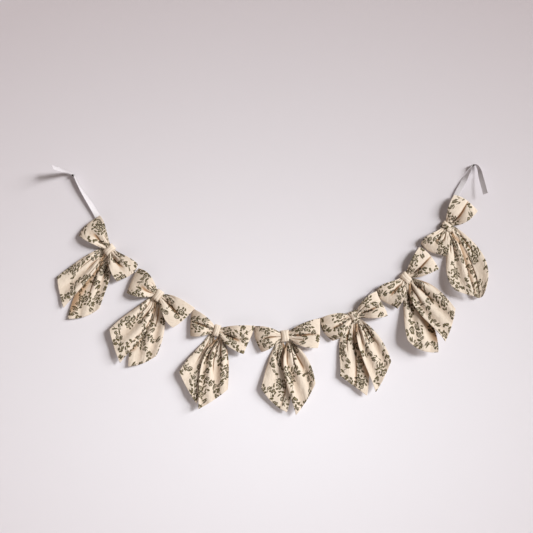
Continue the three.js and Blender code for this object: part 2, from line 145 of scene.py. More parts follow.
@dataclass(frozen=True)
class Fold:
    """One groove that runs out from the gathers at the knot and fades away.

    One wall of it is steep and the other gentle, as where one pleat laps over the next.

    Attributes:
        start: Where it leaves the knot, as a share of the cloth's width.
        end: Where it fades out, in the same way.
        reach: Its length, as a share of the cloth's.
        depth: How deep it is at its deepest.
        width: Half its width, as a share of the cloth's.
    """

    start: float
    end: float
    reach: float
    depth: float
    width: float

    steep: float = 0.8
    gentle: float = 1.15
    sway: float = 0.02
    lap: float = 0.3
    slit: float = 0.26

    def press(self, along: Array, across: Array, width: Array, wall: int) -> Array:
        """Works out how the groove moves the cloth.

        Args:
            along: Share of the cloth's length from the knot.
            across: Share of its width.
            width: The cloth's width there.
            wall: 1 where the steep wall is on the side of greater shares, else -1.

        Returns:
            How far each place is pressed in, and how far it moves towards greater shares.
        """
        share = np.clip(along / self.reach, 0, 1)
        middle = mix(self.start, self.end, share) + self.sway * np.sin(7 * share + 20 * self.start)
        wide = self.width * mix(0.9, 0.95, share)
        away = wall * (across - middle) / wide
        side = np.where(away > 0, self.steep, self.gentle)
        fade = ramp(-0.03, 0.1, along) * (1 - ramp(0.5, 1.0, share))
        slit = np.exp(-np.abs(away / self.slit) ** 1.4)
        pressed = self.depth * (0.75 * np.exp(-np.abs(away / side) ** 1.3) + 0.4 * slit) * fade
        over = 0.35 * bell(away, 0, 0.3) - bell(away, 0.75, 0.6)
        return np.stack([pressed, wall * wide * width * self.lap * fade * over])


def gathers(seed: int, count: int, reach: Pair, depth: Pair) -> list[Fold]:
    """Draws a number of short uneven grooves where cloth is gathered.

    Args:
        seed: Picks one set.
        count: How many grooves there are.
        reach: Their least and greatest reach.
        depth: Their least and greatest depth.
    """
    draw = np.random.default_rng(seed)
    folds = []
    for i in range(count):
        start = (i + draw.uniform(0.2, 0.8)) / count
        end = start + draw.uniform(-0.06, 0.06)
        folds.append(Fold(start, end, draw.uniform(*reach), draw.uniform(*depth),
                          draw.uniform(0.025, 0.05)))
    return folds


@dataclass(frozen=True)
class Crumple:
    """Small soft creases that handling leaves in cotton: which set of them, and their height."""

    seed: int
    height: float = 0.55
    waves: tuple[float, ...] = (46.0, 31.0, 22.0, 15.0, 11.0)

    def at(self, across: Array, along: Array) -> Array:
        """Returns the height of the cloth at places on the flat cloth."""
        draw = np.random.default_rng(self.seed)
        total = np.zeros(np.broadcast(across, along).shape)
        for wave in self.waves:
            turn, phase, bend = draw.uniform(0, 2 * math.pi, 3)
            x, y = turned(across, along, -turn)
            ripple = np.sin(2 * math.pi * x / wave + phase + 0.9 * np.sin(y / wave * 2.2 + bend))
            total += (1 - np.abs(ripple)) ** 2 * (wave / self.waves[0]) ** 0.6
        return self.height * (total / 2.2 - 0.5)


# ---------------------------------------------------------------- mesh of a sheet of cloth


@dataclass
class ClothSheet:
    """A sheet of cloth with a rounded edge, made from a grid of points on its middle.

    Attributes:
        name: Name of the piece.
        points: Rows by columns by x, y, z.
        flat: Rows by columns by across and along, on the flat cloth.
        thickness: Thickness of the cloth.
        covered: Rows by columns of further painted shadow and shade, from 0 to 1, as where other
            cloth lies close over it.
        gathered: How much stronger its painted shade in valleys is than on loose cloth, for each row.
        left_slope_shade: Painted shade on slopes that face left, away from the lamps, from 0 to 1.
        scales: Half the width of cloth, in columns, that a point is compared with to find valleys
            between folds, and the depth below it that counts as full painted shade.
    """

    name: str
    points: Array
    flat: Array
    thickness: float
    covered: Optional[Array] = None
    gathered: float | Array = 1.0
    left_slope_shade: float = 0.0
    scales: tuple[tuple[int, float], ...] = ((10, 2.8), (3, 0.85))

    def normals(self) -> Array:
        """Returns the unit normal of the middle surface at every grid point."""
        return unit(np.cross(np.gradient(self.points, axis=0), np.gradient(self.points, axis=1)))

    def painted_shade_grid(self, side: int) -> Array:
        """Returns the painted shade of each grid point, from 0 to 1, most in valleys between folds.

        Args:
            side: 1 for the face on the side of the normals, -1 for the other.
        """
        y = self.points[..., 1]
        columns = y.shape[1]
        normal = side * self.normals()
        to_room = normal[..., 1] < 0
        deepest = np.zeros_like(y)
        # Painted shade: how far a point lies below the mean of the cloth round it, at two widths.
        for reach, deep in self.scales:
            padded = np.pad(y, ((0, 0), (reach, reach)), mode="edge")
            around = sum(padded[:, k:k + columns] for k in range(2 * reach + 1)) / (2 * reach + 1)
            below = np.where(to_room, y - around, around - y)
            deepest = np.maximum(deepest, below / deep * self.gathered)
        # Painted shade on slopes that face left, away from the lamps.
        leftward = np.where(to_room, np.clip((-normal[..., 0] - 0.12) / 0.5, 0, 1), 0)
        deepest = deepest + self.left_slope_shade * leftward
        # Painted shadow and shade handed in as covered, such as where other cloth lies close over it.
        if self.covered is not None:
            deepest = np.where(to_room, np.maximum(deepest, self.covered), deepest)
        return np.clip(deepest, 0, 1)

    def rim(self) -> tuple[Array, Array]:
        """Returns the numbers of the grid points round the edge, and outward directions there."""
        rows, columns = self.points.shape[:2]
        number = np.arange(rows * columns).reshape(rows, columns)
        ring = np.concatenate([number[0], number[1:, -1], number[-1, -2::-1], number[-2:0:-1, 0]])
        row, column = np.divmod(ring, columns)
        on_ring = self.points[row, column]
        run = np.roll(on_ring, -1, axis=0) - np.roll(on_ring, 1, axis=0)
        out = np.cross(run, self.normals()[row, column])
        away = on_ring - self.points[np.clip(row, 1, rows - 2), np.clip(column, 1, columns - 2)]
        return ring, unit(out * np.sign(np.sum(out * away, axis=1, keepdims=True)))

    def build(self) -> Piece:
        """Makes the closed, smooth-shaded mesh object with its flat-cloth UV map and painted shade."""
        rows, columns = self.points.shape[:2]
        half, normal = self.thickness / 2, self.normals()
        ring, out = self.rim()
        edge = self.points.reshape(-1, 3)[ring] + out * half
        layers = (self.points + normal * half, self.points - normal * half, edge)
        vertices = np.concatenate([layer.reshape(-1, 3) for layer in layers]) * MM
        number = np.arange(rows * columns).reshape(rows, columns)
        a, b = number[:-1, :-1].ravel(), number[1:, :-1].ravel()
        c, d = number[1:, 1:].ravel(), number[:-1, 1:].ravel()
        back = rows * columns
        after = np.roll(ring, -1)
        on_edge = 2 * back + np.arange(len(ring))
        next_edge = np.roll(on_edge, -1)
        quads = np.concatenate([np.stack(corners, 1) for corners in (
            (a, b, c, d), (a + back, d + back, c + back, b + back),
            (ring, after, next_edge, on_edge), (on_edge, next_edge, after + back, ring + back))])
        flat = self.flat.reshape(-1, 2)
        uv = np.concatenate([flat, flat, flat[ring]]) * MM
        mesh = bpy.data.meshes.new(self.name)
        mesh.from_pydata(vertices.tolist(), [], quads.tolist())
        corner = np.empty(len(mesh.loops), dtype=np.int32)
        mesh.loops.foreach_get("vertex_index", corner)
        mesh.uv_layers.new(name=CLOTH_UV).data.foreach_set("uv", uv[corner].ravel())
        # The painted shade of the front face, the back face and the rim, kept as a mesh attribute.
        before, behind = self.painted_shade_grid(1).ravel(), self.painted_shade_grid(-1).ravel()
        shade = mesh.attributes.new(PAINTED_SHADE, "FLOAT", "POINT")
        shade.data.foreach_set("value", np.concatenate([before, behind, before[ring]]))
        mesh.polygons.foreach_set("use_smooth", [True] * len(mesh.polygons))
        mesh.update()
        piece = in_scene(self.name, mesh)
        face_outwards(piece)
        return piece


def in_scene(name: str, data: bpy.types.ID) -> Piece:
    """Puts a mesh, a lamp or a camera into the scene under a name."""
    made = bpy.data.objects.new(name, data)
    bpy.context.scene.collection.objects.link(made)
    return made


def face_outwards(piece: Piece) -> None:
    """Turns every face of a closed mesh outwards."""
    shape = bmesh.new()
    shape.from_mesh(piece.data)
    bmesh.ops.recalc_face_normals(shape, faces=shape.faces)
    shape.to_mesh(piece.data)
    shape.free()


def flat_cloth(points: Array, width: float, start: Pair = (0, 0), turn: float = 0) -> Array:
    """Lays the grid of a sheet out flat, to place the print on it.

    Args:
        points: Rows by columns by x, y, z.
        width: Width of the cut strip.
        start: Where in the printed cloth the strip was cut.
        turn: How far the strip was turned when it was cut, in degrees.

    Returns:
        Rows by columns by across and along.
    """
    step = np.linalg.norm(np.diff(points, axis=0), axis=2)
    along = np.concatenate([np.zeros((1, points.shape[1])), np.cumsum(step, axis=0)])
    middle = along[len(along) // 2]
    along = along - middle + middle.mean()
    across = np.broadcast_to(np.linspace(0, width, points.shape[1]), along.shape)
    return np.stack(turned(across, along, math.radians(turn)), 2) + np.array(start, float)


def dress(piece: Piece, finish: Material, node: str, slot: Slot) -> None:
    """Gives a piece its finish, hangs it under the body empty and hides the CAD part it stands for."""
    piece.data.materials.append(finish)
    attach(piece, BODY)
    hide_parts(node)


# ---------------------------------------------------------------- node building


@dataclass(frozen=True)
class Signal:
    """A number in a node tree; arithmetic with it adds math nodes."""

    board: "Board"
    socket: bpy.types.NodeSocket

    def math(self, operation: str, *others: "Signal | float", clamp: bool = False) -> "Signal":
        """Adds a math node with this signal first."""
        return self.board.math(operation, self, *others, clamp=clamp)

    def __add__(self, other: "Signal | float") -> "Signal":
        """Returns the sum."""
        return self.math("ADD", other)

    def __sub__(self, other: "Signal | float") -> "Signal":
        """Returns the difference."""
        return self.math("SUBTRACT", other)

    def __rsub__(self, other: float) -> "Signal":
        """Returns a number less this signal."""
        return self.board.math("SUBTRACT", other, self)

    def __mul__(self, other: "Signal | float") -> "Signal":
        """Returns the product."""
        return self.math("MULTIPLY", other)

    def __truediv__(self, other: float) -> "Signal":
        """Returns the quotient."""
        return self.math("DIVIDE", other)

    def scaled(self, by: float, plus: float, clamp: bool = False) -> "Signal":
        """Returns this times one number plus another."""
        return self.math("MULTIPLY_ADD", by, plus, clamp=clamp)

    def under(self, edge: "Signal | float", soft: float = 0.16) -> "Signal":
        """Returns 1 where this is less than edge, with a soft step between."""
        return self.board.math("SUBTRACT", edge, self).scaled(0.5 / soft, 0.5, clamp=True)


@dataclass(frozen=True)
class Board:
    """Adds nodes to one node tree and joins them up."""

    tree: bpy.types.NodeTree

    def fill(self, node: Node, plugs: dict[int | str, Any]) -> None:
        """Joins a signal or a socket to each named input of a node, or sets its value."""
        for key, value in plugs.items():
            value = value.socket if isinstance(value, Signal) else value
            if isinstance(value, bpy.types.NodeSocket):
                self.tree.links.new(value, node.inputs[key])
            else:
                node.inputs[key].default_value = value

    def node(self, kind: str, plugs: Optional[dict[int | str, Any]] = None,
             **settings: Any) -> Node:
        """Adds a node of a kind, sets its properties and fills its inputs."""
        made = self.tree.nodes.new(f"ShaderNode{kind}")
        for key, value in settings.items():
            setattr(made, key, value)
        self.fill(made, plugs or {})
        return made

    def signal(self, node: Node, output: int | str = 0) -> Signal:
        """Returns one output of a node as a signal."""
        return Signal(self, node.outputs[output])

    def math(self, operation: str, *values: Signal | float, clamp: bool = False) -> Signal:
        """Adds a math node and returns its result."""
        plugs = dict(enumerate(values))
        return self.signal(self.node("Math", plugs, operation=operation, use_clamp=clamp))

    def vector(self, x: Signal, y: Signal) -> Signal:
        """Returns a vector from its parts."""
        return self.signal(self.node("CombineXYZ", {0: x, 1: y}))

    def parts(self, vector: Signal) -> list[Signal]:
        """Returns the x, y and z of a vector."""
        split = self.node("SeparateXYZ", {0: vector})
        return [self.signal(split, i) for i in range(3)]

    def noise(self, place: Signal, scale: float, detail: float, output: int = 0,
              dimensions: str = "2D") -> Signal:
        """Returns cloudy noise."""
        plugs = {"Vector": place, "Scale": scale, "Detail": detail}
        return self.signal(self.node("TexNoise", plugs, noise_dimensions=dimensions), output)

    def chance(self, x: Signal, y: Signal) -> Signal:
        """Returns a steady random number for a pair of whole numbers."""
        plugs = {"Vector": self.vector(x, y)}
        return self.signal(self.node("TexWhiteNoise", plugs, noise_dimensions="2D"), "Value")

    def blend(self, share: Signal, a: Any, b: Any, how: str = "MIX") -> Signal:
        """Mixes two colours, each a signal or a tuple."""
        plugs = {0: share, 6: a, 7: b}
        return self.signal(self.node("Mix", plugs, data_type="RGBA", blend_type=how), 2)

    def bump(self, height: Signal, strength: float, distance: float,
             over: Optional[Signal] = None) -> Signal:
        """Returns a normal bent by a height, over another bent normal or over none."""
        plugs = {"Height": height, "Strength": strength, "Distance": distance}
        return self.signal(self.node("Bump", plugs | ({"Normal": over} if over else {})))

    def show(self, share: Signal, first: Node, second: Node) -> None:
        """Sends the first of two shaders to the output, or the second one where share is 1."""
        choose = self.node("MixShader", {0: share, 1: first.outputs[0], 2: second.outputs[0]})
        output = next(n for n in self.tree.nodes if n.type.startswith("OUTPUT"))
        self.fill(output, {"Surface": choose.outputs[0]})


def largest(first: Signal, *others: Signal) -> Signal:
    """Returns the largest of several masks."""
    for other in others:
        first = first.math("MAXIMUM", other)
    return first


def length(x: Signal, y: Signal) -> Signal:
    """Returns the distance of x and y from their middle."""
    return (x * x + y * y).math("SQRT")


def new_material(name: str) -> tuple[Material, Board, Node]:
    """Makes an empty node material.

    Returns:
        The material, a board on its tree and its Principled shader.
    """
    material = bpy.data.materials.new(name)
    material.use_nodes = True
    shader = next(n for n in material.node_tree.nodes if n.type == "BSDF_PRINCIPLED")
    return material, Board(material.node_tree), shader


def linear(red: int, green: int, blue: int) -> tuple[float, ...]:
    """Turns display values from 0 to 255 into a scene colour."""
    shares = [value / 255 for value in (red, green, blue)]
    return (*(s / 12.92 if s <= 0.04045 else ((s + 0.055) / 1.055) ** 2.4 for s in shares), 1.0)


def faded(colour: Sequence[float], keep: Sequence[float]) -> tuple[float, ...]:
    """Returns a scene colour with each of its three parts reduced."""
    return (*(c * k for c, k in zip(colour, keep)), 1.0)


# ---------------------------------------------------------------- finishes


@dataclass(frozen=True)
class FloralPrint:
    """A small floral print: posies joined by trailing stems of round blossoms."""

    posy_across: float = 68.0
    posy_along: float = 84.0
    posy_radius: float = 18.5
    rose_pitch: float = 14.5
    rose_radius: float = 6.9
    rose_coil: float = 4.3
    leaf_pitch: float = 8.2
    vine_pitch: float = 50.0
    vine_sway: float = 10.0
    vine_wave: float = 73.0
    vine_clear: float = 9.0
    cross_pitch: float = 78.0
    cross_turn: float = 61.0
    blossom_step: float = 14.5
    blossom_radius: float = 4.6
    heart_radius: float = 1.3
    outline: float = 1.7
    leaf_long: float = 4.6
    leaf_wide: float = 2.3
    rib_half: float = 0.25
    stem_half: float = 0.5
    twig_half: float = 0.45
    twig_end: float = -6.0
    bare_share: float = 0.12
    pair_share: float = 0.4
    wobble: float = 1.4

    def petals(self, x: Signal, y: Signal, spin: Signal, half: float) -> tuple[Signal, ...]:
        """Returns the distance from a flower's middle, the angle, and a scallop round it."""
        angle = y.math("ARCTAN2", x) + spin
        return length(x, y), angle, (angle * half).math("COSINE").math("ABSOLUTE")

    def ring(self, away: Signal, rim: Signal) -> tuple[Signal, Signal]:
        """Returns the inside of a flower and its inked outline."""
        inside = away.under(rim)
        return inside, inside - away.under(rim - self.outline)

    def blossom(self, x: Signal, y: Signal, radius: Signal, spin: Signal) -> Signal:
        """Draws a round five-petalled blossom round the middle of x and y."""
        away, _, scallop = self.petals(x, y, spin, 2.5)
        inside, outline = self.ring(away, radius * scallop.scaled(0.2, 0.85))
        heart = away.under(self.heart_radius) * inside
        seam = scallop.under(0.16, 0.12) * inside * 0.8
        wash = inside * spin.math("SINE").scaled(0.14, 0.3)
        return largest(outline, heart, seam, wash)

    def rose(self, x: Signal, y: Signal, spin: Signal) -> tuple[Signal, Signal]:
        """Draws a full rose whose petals coil in.

        Returns:
            The ink, and the ground that the rose covers, both from 0 to 1.
        """
        away, angle, lobes = self.petals(x, y, spin, 3.0)
        inside, outline = self.ring(away, lobes.scaled(1.1, self.rose_radius - 0.9))
        turns = away * (2 * math.pi / self.rose_coil) - angle
        coil = turns.math("SINE").under(-0.42, 0.3)
        return largest(outline, coil * inside, inside * lobes.scaled(-0.3, 0.42)), inside

    def leaf(self, x: Signal, y: Signal, lean: float = 0.0) -> Signal:
        """Draws a pointed leaf with a pale rib, leaning by a number of degrees."""
        along, across = turned(x, y, -math.radians(lean))
        across = across.math("ABSOLUTE")
        share = along / self.leaf_long
        width = (1.0 - share * share) * self.leaf_wide
        pale = largest(across.under(self.rib_half) * 0.5, across.under(width - 0.8) * 0.22)
        return across.under(width) * (1.0 - pale)

    def vine(self, s: Signal, n: Signal, row: Signal) -> Signal:
        """Draws one trailing stem with blossoms, twigs and leaves.

        Args:
            s: Distance along the stem.
            n: Distance from it.
            row: Whole number that tells this stem from the others.
        """
        board, step = s.board, self.blossom_step
        count = (s / step).math("FLOOR")
        luck, more_luck = board.chance(count, row), board.chance(count + 37.0, row + 11.0)
        x = s - count * step - step / 2
        toward = n * count.math("PINGPONG", 1.0).scaled(2.0, -1.0)
        kept = luck.math("GREATER_THAN", self.bare_share)
        radius = more_luck.scaled(1.2, self.blossom_radius - 0.8)
        flower = self.blossom(x, toward - luck.scaled(2.5, 3.2), kept * radius, luck * 6.0)
        paired = more_luck.math("GREATER_THAN", 1 - self.pair_share)
        partner = self.blossom(
            x - 3.0, toward + more_luck.scaled(2.0, 5.0), paired * 3.5, more_luck)
        whole = (luck + more_luck).math("GREATER_THAN", 0.4)
        stem = n.math("ABSOLUTE").under(self.stem_half) * whole
        twig = x.math("ABSOLUTE").under(self.twig_half) * toward.under(2.2)
        twig = twig * toward.math("GREATER_THAN", self.twig_end) * paired
        low = self.leaf(x + 3.9, toward * -1.0 - 3.2, 62)
        high = self.leaf(x + 6.0, toward - 2.6, 112)
        return largest(flower, partner, stem, twig, low, high)

    def scatter(self, u: Signal, v: Signal, pitch: float) -> list[Signal]:
        """Returns the place of the nearest of many scattered points, a pitch apart."""
        plugs = {"Vector": u.board.vector(u, v), "Scale": 1 / pitch, "Randomness": 0.5}
        cells = u.board.node("TexVoronoi", plugs, voronoi_dimensions="2D")
        return u.board.parts(u.board.signal(cells, "Position"))[:2]

    def posy(self, u: Signal, v: Signal) -> tuple[Signal, Signal]:
        """Draws the posies.

        Returns:
            The ink, and the ground that the posies keep clear of stems, both from 0 to 1.
        """
        column = (u / self.posy_across).math("FLOOR")
        drop = column.math("PINGPONG", 1.0) * (self.posy_along / 2)
        row = ((v + drop) / self.posy_along).math("FLOOR")
        middle_u = (column + 0.5) * self.posy_across
        middle_v = (row + 0.5) * self.posy_along - drop
        leaf_u, leaf_v = self.scatter(u, v, self.leaf_pitch)
        leaf_away = length(leaf_u - middle_u, leaf_v - middle_v)
        turn = u.board.chance(leaf_u, leaf_v) * 6.28
        c, s = turn.math("COSINE"), turn.math("SINE")
        x, y = u - leaf_u, v - leaf_v
        leaves = self.leaf(x * c + y * s, y * c - x * s)
        leaves = leaves * leaf_away.math("LESS_THAN", self.posy_radius)
        rose_u, rose_v = self.scatter(u, v, self.rose_pitch)
        rose_away = length(rose_u - middle_u, rose_v - middle_v)
        rose, covered = self.rose(u - rose_u, v - rose_v, rose_u)
        covered = covered * rose_away.math("LESS_THAN", self.posy_radius - 4.5)
        ink = leaves * (1.0 - covered) + rose * covered
        clear = length(u - middle_u, v - middle_v).under(self.posy_radius + 2.0, 0.4)
        return ink, largest(clear, covered)

    def ink(self, uv: Signal) -> Signal:
        """Draws the whole print at a place on the flat cloth, in metres, as ink from 0 to 1."""
        board = uv.board
        place = board.signal(board.node("VectorMath", {0: uv, "Scale": 1 / MM}, operation="SCALE"))
        shift = board.parts(board.noise(place, 0.11, 2.0, 1))
        u, v = (p + w.scaled(2 * self.wobble, -self.wobble)
                for p, w in zip(board.parts(place)[:2], shift))
        ink, clear = self.posy(u, v)
        for pitch, turn, sway, wave in (
                (self.vine_pitch, 0.0, self.vine_sway, self.vine_wave),
                (self.cross_pitch, self.cross_turn, self.vine_sway * 0.8, self.vine_wave * 1.3)):
            along, across = turned(v, u, math.radians(turn))
            row = (across / pitch).math("ROUND")
            swing = (along * (2 * math.pi / wave) + row * 2.1).math("SINE")
            away = across - row * pitch - swing * sway
            vine = self.vine(along, away, row + turn)
            ink = largest(ink, vine * (1.0 - clear))
            clear = largest(clear, away.math("ABSOLUTE").under(self.vine_clear, 0.4))
        return ink


@dataclass(frozen=True)
class PrintedCotton:
    """Plain-woven cream cotton with the olive floral print, darkened where painted shade lies."""

    cream: tuple[int, int, int] = (230, 216, 200)
    ink: tuple[int, int, int] = (38, 28, 6)
    wash: tuple[int, int, int] = (128, 116, 74)
    thread: float = 0.42
    # Colour that the cloth is multiplied by at full painted shade.
    deep: Triple = (0.52, 0.36, 0.23)

    def make(self) -> Material:
        """Builds the material."""
        material, board, shader = new_material("printed_cotton_cloth")
        uv = board.signal(board.node("UVMap", uv_map=CLOTH_UV))
        ink = FloralPrint().ink(uv)
        u, v, _ = board.parts(uv)
        turns = 2 * math.pi / (self.thread * MM)
        weave = (u * turns).math("SINE") * (v * turns).math("SINE")
        slub = board.noise(board.vector(u * 6.0, v), 900.0, 3.0)
        cream, dark = linear(*self.cream), linear(*self.ink)
        ground = board.blend(slub.scaled(1.4, -0.2, clamp=True),
                             faded(cream, (0.93, 0.915, 0.89)), cream)
        worn = board.noise(uv, 240.0, 3.0).scaled(1.8, -0.4, clamp=True)
        pigment = board.blend(worn, dark, tuple(mix(a, b, 0.07) for a, b in zip(dark, cream)))
        washed = board.blend(ink.math("MULTIPLY", 2.0, clamp=True), ground, linear(*self.wash))
        printed = board.blend(ink.scaled(2.0, -1.0, clamp=True), washed, pigment)
        # Painted shade, read from the mesh, multiplies the printed colour towards the deep colour.
        painted_shade_amount = board.signal(board.node("Attribute", attribute_name=PAINTED_SHADE), "Fac")
        fine = board.bump(weave.math("MULTIPLY_ADD", 0.5, slub * 0.6), 0.35, 0.00012)
        board.fill(shader, {
            "Base Color": board.blend(painted_shade_amount, printed, (*self.deep, 1.0), "MULTIPLY"),
            "Roughness": 0.92, "Specular IOR Level": 0.18, "Sheen Weight": 0.12,
            "Sheen Roughness": 0.6,
            "Normal": board.bump(board.noise(uv, 85.0, 5.0), 0.6, 0.002, fine)})
        return material


@dataclass(frozen=True)
class WhiteSatin:
    """White satin ribbon with a fine rib and woven edges."""

    white: tuple[int, int, int] = (212, 207, 210)
    width: float = 12.7
    woven: float = 0.9
    rib: float = 0.5

    def make(self) -> Material:
        """Builds the material."""
        material, board, shader = new_material("white_satin_ribbon")
        u, v, _ = board.parts(board.signal(board.node("UVMap", uv_map=CLOTH_UV)))
        from_middle = (u * (1 / MM) - self.width / 2).math("ABSOLUTE")
        edge = from_middle.math("GREATER_THAN", self.width / 2 - self.woven)
        streaks = board.noise(board.vector(u * 22.0, v * 0.6), 160.0, 3.0)
        white = linear(*self.white)
        tone = (streaks * 0.7 + edge * 0.4).scaled(1.0, -0.1, clamp=True)
        height = (v * (2 * math.pi / (self.rib * MM))).math("SINE") + edge * 2.0
        board.fill(shader, {
            "Base Color": board.blend(tone, white, faded(white, (0.95, 0.95, 0.95))),
            "Roughness": 0.48, "Anisotropic": 0.4, "Sheen Weight": 0.15,
            "Normal": board.bump(height, 0.25, 0.0001)})
        return material


@dataclass(frozen=True)
class DarkSteel:
    """Blackened steel of a small nail, a little rubbed on its head."""

    dark: tuple[int, int, int] = (46, 41, 38)
    rubbed: tuple[int, int, int] = (96, 88, 82)

    def make(self) -> Material:
        """Builds the material."""
        material, board, shader = new_material("blackened_nail_steel")
        place = board.signal(board.node("TexCoord"), "Object")
        grain = board.noise(place, 700.0, 4.0, dimensions="3D")
        worn = grain.scaled(3.0, -1.3, clamp=True)
        board.fill(shader, {
            "Base Color": board.blend(worn, linear(*self.dark), linear(*self.rubbed)),
            "Metallic": 0.85, "Roughness": grain.scaled(0.25, 0.3)})
        return material


# ---------------------------------------------------------------- the bows


@dataclass(frozen=True)
class Knot:
    """Place of one bow on the ribbon.

    Attributes:
        x: Middle of the knot.
        z: Middle of the knot.
        tilt: Run of the ribbon through it, in degrees.
        width: Width of the knot band.
        print_at: Where in the printed cloth the bow's strips were cut.
        print_turn: How far they were turned when cut, in degrees.
        close: How far the tails' inner edges go towards each other below it, as a share.
        band_print: Where in the printed cloth its band was cut.
    """

    x: float
    z: float
    tilt: float
    width: float
    print_at: Pair = (0.0, 0.0)
    print_turn: float = 0.0
    close: float = 1.2
    band_print: Pair = (66.0, 147.0)


def pressed_in(flat: Array, span: Array, share: Array, w: Array, folds: Iterable[Fold],
               free: Array, wall: int = 1) -> tuple[Array, Array]:
    """Presses grooves into a layer of cloth.

    Args:
        flat: x and z of its points, in a last axis of two.
        span: The way across it from share 0 to share 1 of its width, in the same form.
        share: Share of its length from the knot.
        w: Share of its width.
        folds: The grooves.
        free: How far it is free to move sideways, from 0 to 1.
        wall: The side of the grooves' steep walls, as for one fold.

    Returns:
        The moved x and z, and how far each point is pressed in.
    """
    width = np.linalg.norm(span, axis=-1)
    pressed, moved = sum(fold.press(share, w, width, wall) for fold in folds)
    return flat + span * (moved * free / width)[..., None], pressed


@dataclass(frozen=True)
class LoopSide:
    """One open loop of a bow, measured from the middle of the knot.

    Attributes:
        side: -1 for the left loop and 1 for the right one.
        top_corner: Upper outer corner.
        low_corner: Lower outer corner.
        top: How far the upper edge bows outwards at its thirds, from the knot.
        low: The same of the lower edge.
        outer: The same of the outer fold, from the top.
        crease: Depth of the dent that runs out from the knot.
        crease_at: Where the dent crosses, from 0 low to 1 top.
        folds: Narrow grooves in the front layer.
    """

    side: int
    top_corner: Pair
    low_corner: Pair
    top: Pair
    low: Pair
    outer: Pair
    crease: float
    crease_at: float
    folds: tuple[Fold, ...] = ()

    waist_y: float = -11.6
    waist_half_gap: float = 2.4
    waist_half_height: float = 8.8
    puff: float = 10.5
    lift: float = 5.0
    nose_shift: float = 3.0
    front_sag: float = 3.0
    back_sag: float = 1.4
    crease_width: float = 0.17
    back_flatten: float = 0.6
    gathers: int = 5
    gather_reach: Pair = (0.2, 0.5)
    gather_depth: Pair = (1.6, 3.2)

    def edges(self, knot: Knot, share: float, s: Array) -> tuple[Array, Array]:
        """Finds points on the upper and lower edge of a layer that has a share of their bow."""
        half, high = self.side * knot.width / 2, self.waist_half_height
        top, low = (on_tilt(knot.tilt, half, way * high) for way in (1, -1))
        return (edge(top, self.top_corner, self.top, s, self.side * share),
                edge(low, self.low_corner, self.low, s, -self.side * share))

    def at(self, knot: Knot, angle: Array, w: Array) -> Array:
        """Finds points on the loop.

        Args:
            knot: Where the loop starts.
            angle: 0 at the waist behind, a quarter turn at the fold, a half turn at the waist in
                front.
            w: Share of the cloth's width, from 0 low to 1 top.

        Returns:
            x, y and z in a last axis of three.
        """
        angle, w = np.broadcast_arrays(np.asarray(angle, float), np.asarray(w, float))
        s = np.sin(angle)
        front = angle > math.pi / 2
        upper, lower = (np.where(front[..., None], near, far) for near, far in zip(
            self.edges(knot, 1.0, s), self.edges(knot, self.back_flatten, s)))
        fold = edge(self.top_corner, self.low_corner, self.outer, 1 - w, self.side)
        straight = mix(np.array(self.low_corner, float), np.array(self.top_corner, float),
                       w[..., None])
        flat = mix(lower, upper, w[..., None]) + (s ** 3)[..., None] * (fold - straight)
        half_gap = mix(self.waist_half_gap, self.puff, ramp(0, 0.6, s))
        nose = self.side * self.nose_shift * s ** 3
        middle = self.waist_y - self.lift * np.sin(0.8 * math.pi * s) - nose
        sag = np.where(front, self.front_sag, self.back_sag)
        sag = sag * (2 * w - 1) ** 2 * (1 - ramp(0, 0.35, s))
        dent = self.crease * bell(w, self.crease_at, self.crease_width)
        dent = dent * ramp(0.02, 0.3, s) * (1 - ramp(0.45, 0.95, s))
        seed = abs(round(knot.x)) + self.side
        small = gathers(seed, self.gathers, self.gather_reach, self.gather_depth)
        flat, pressed = pressed_in(flat, upper - lower, s, w, (*self.folds, *small), front)
        shape = np.where(front, dent + pressed, -0.3 * pressed)
        y = middle + np.cos(angle) * half_gap + sag + shape
        return np.stack([flat[..., 0], y, flat[..., 1]], -1)


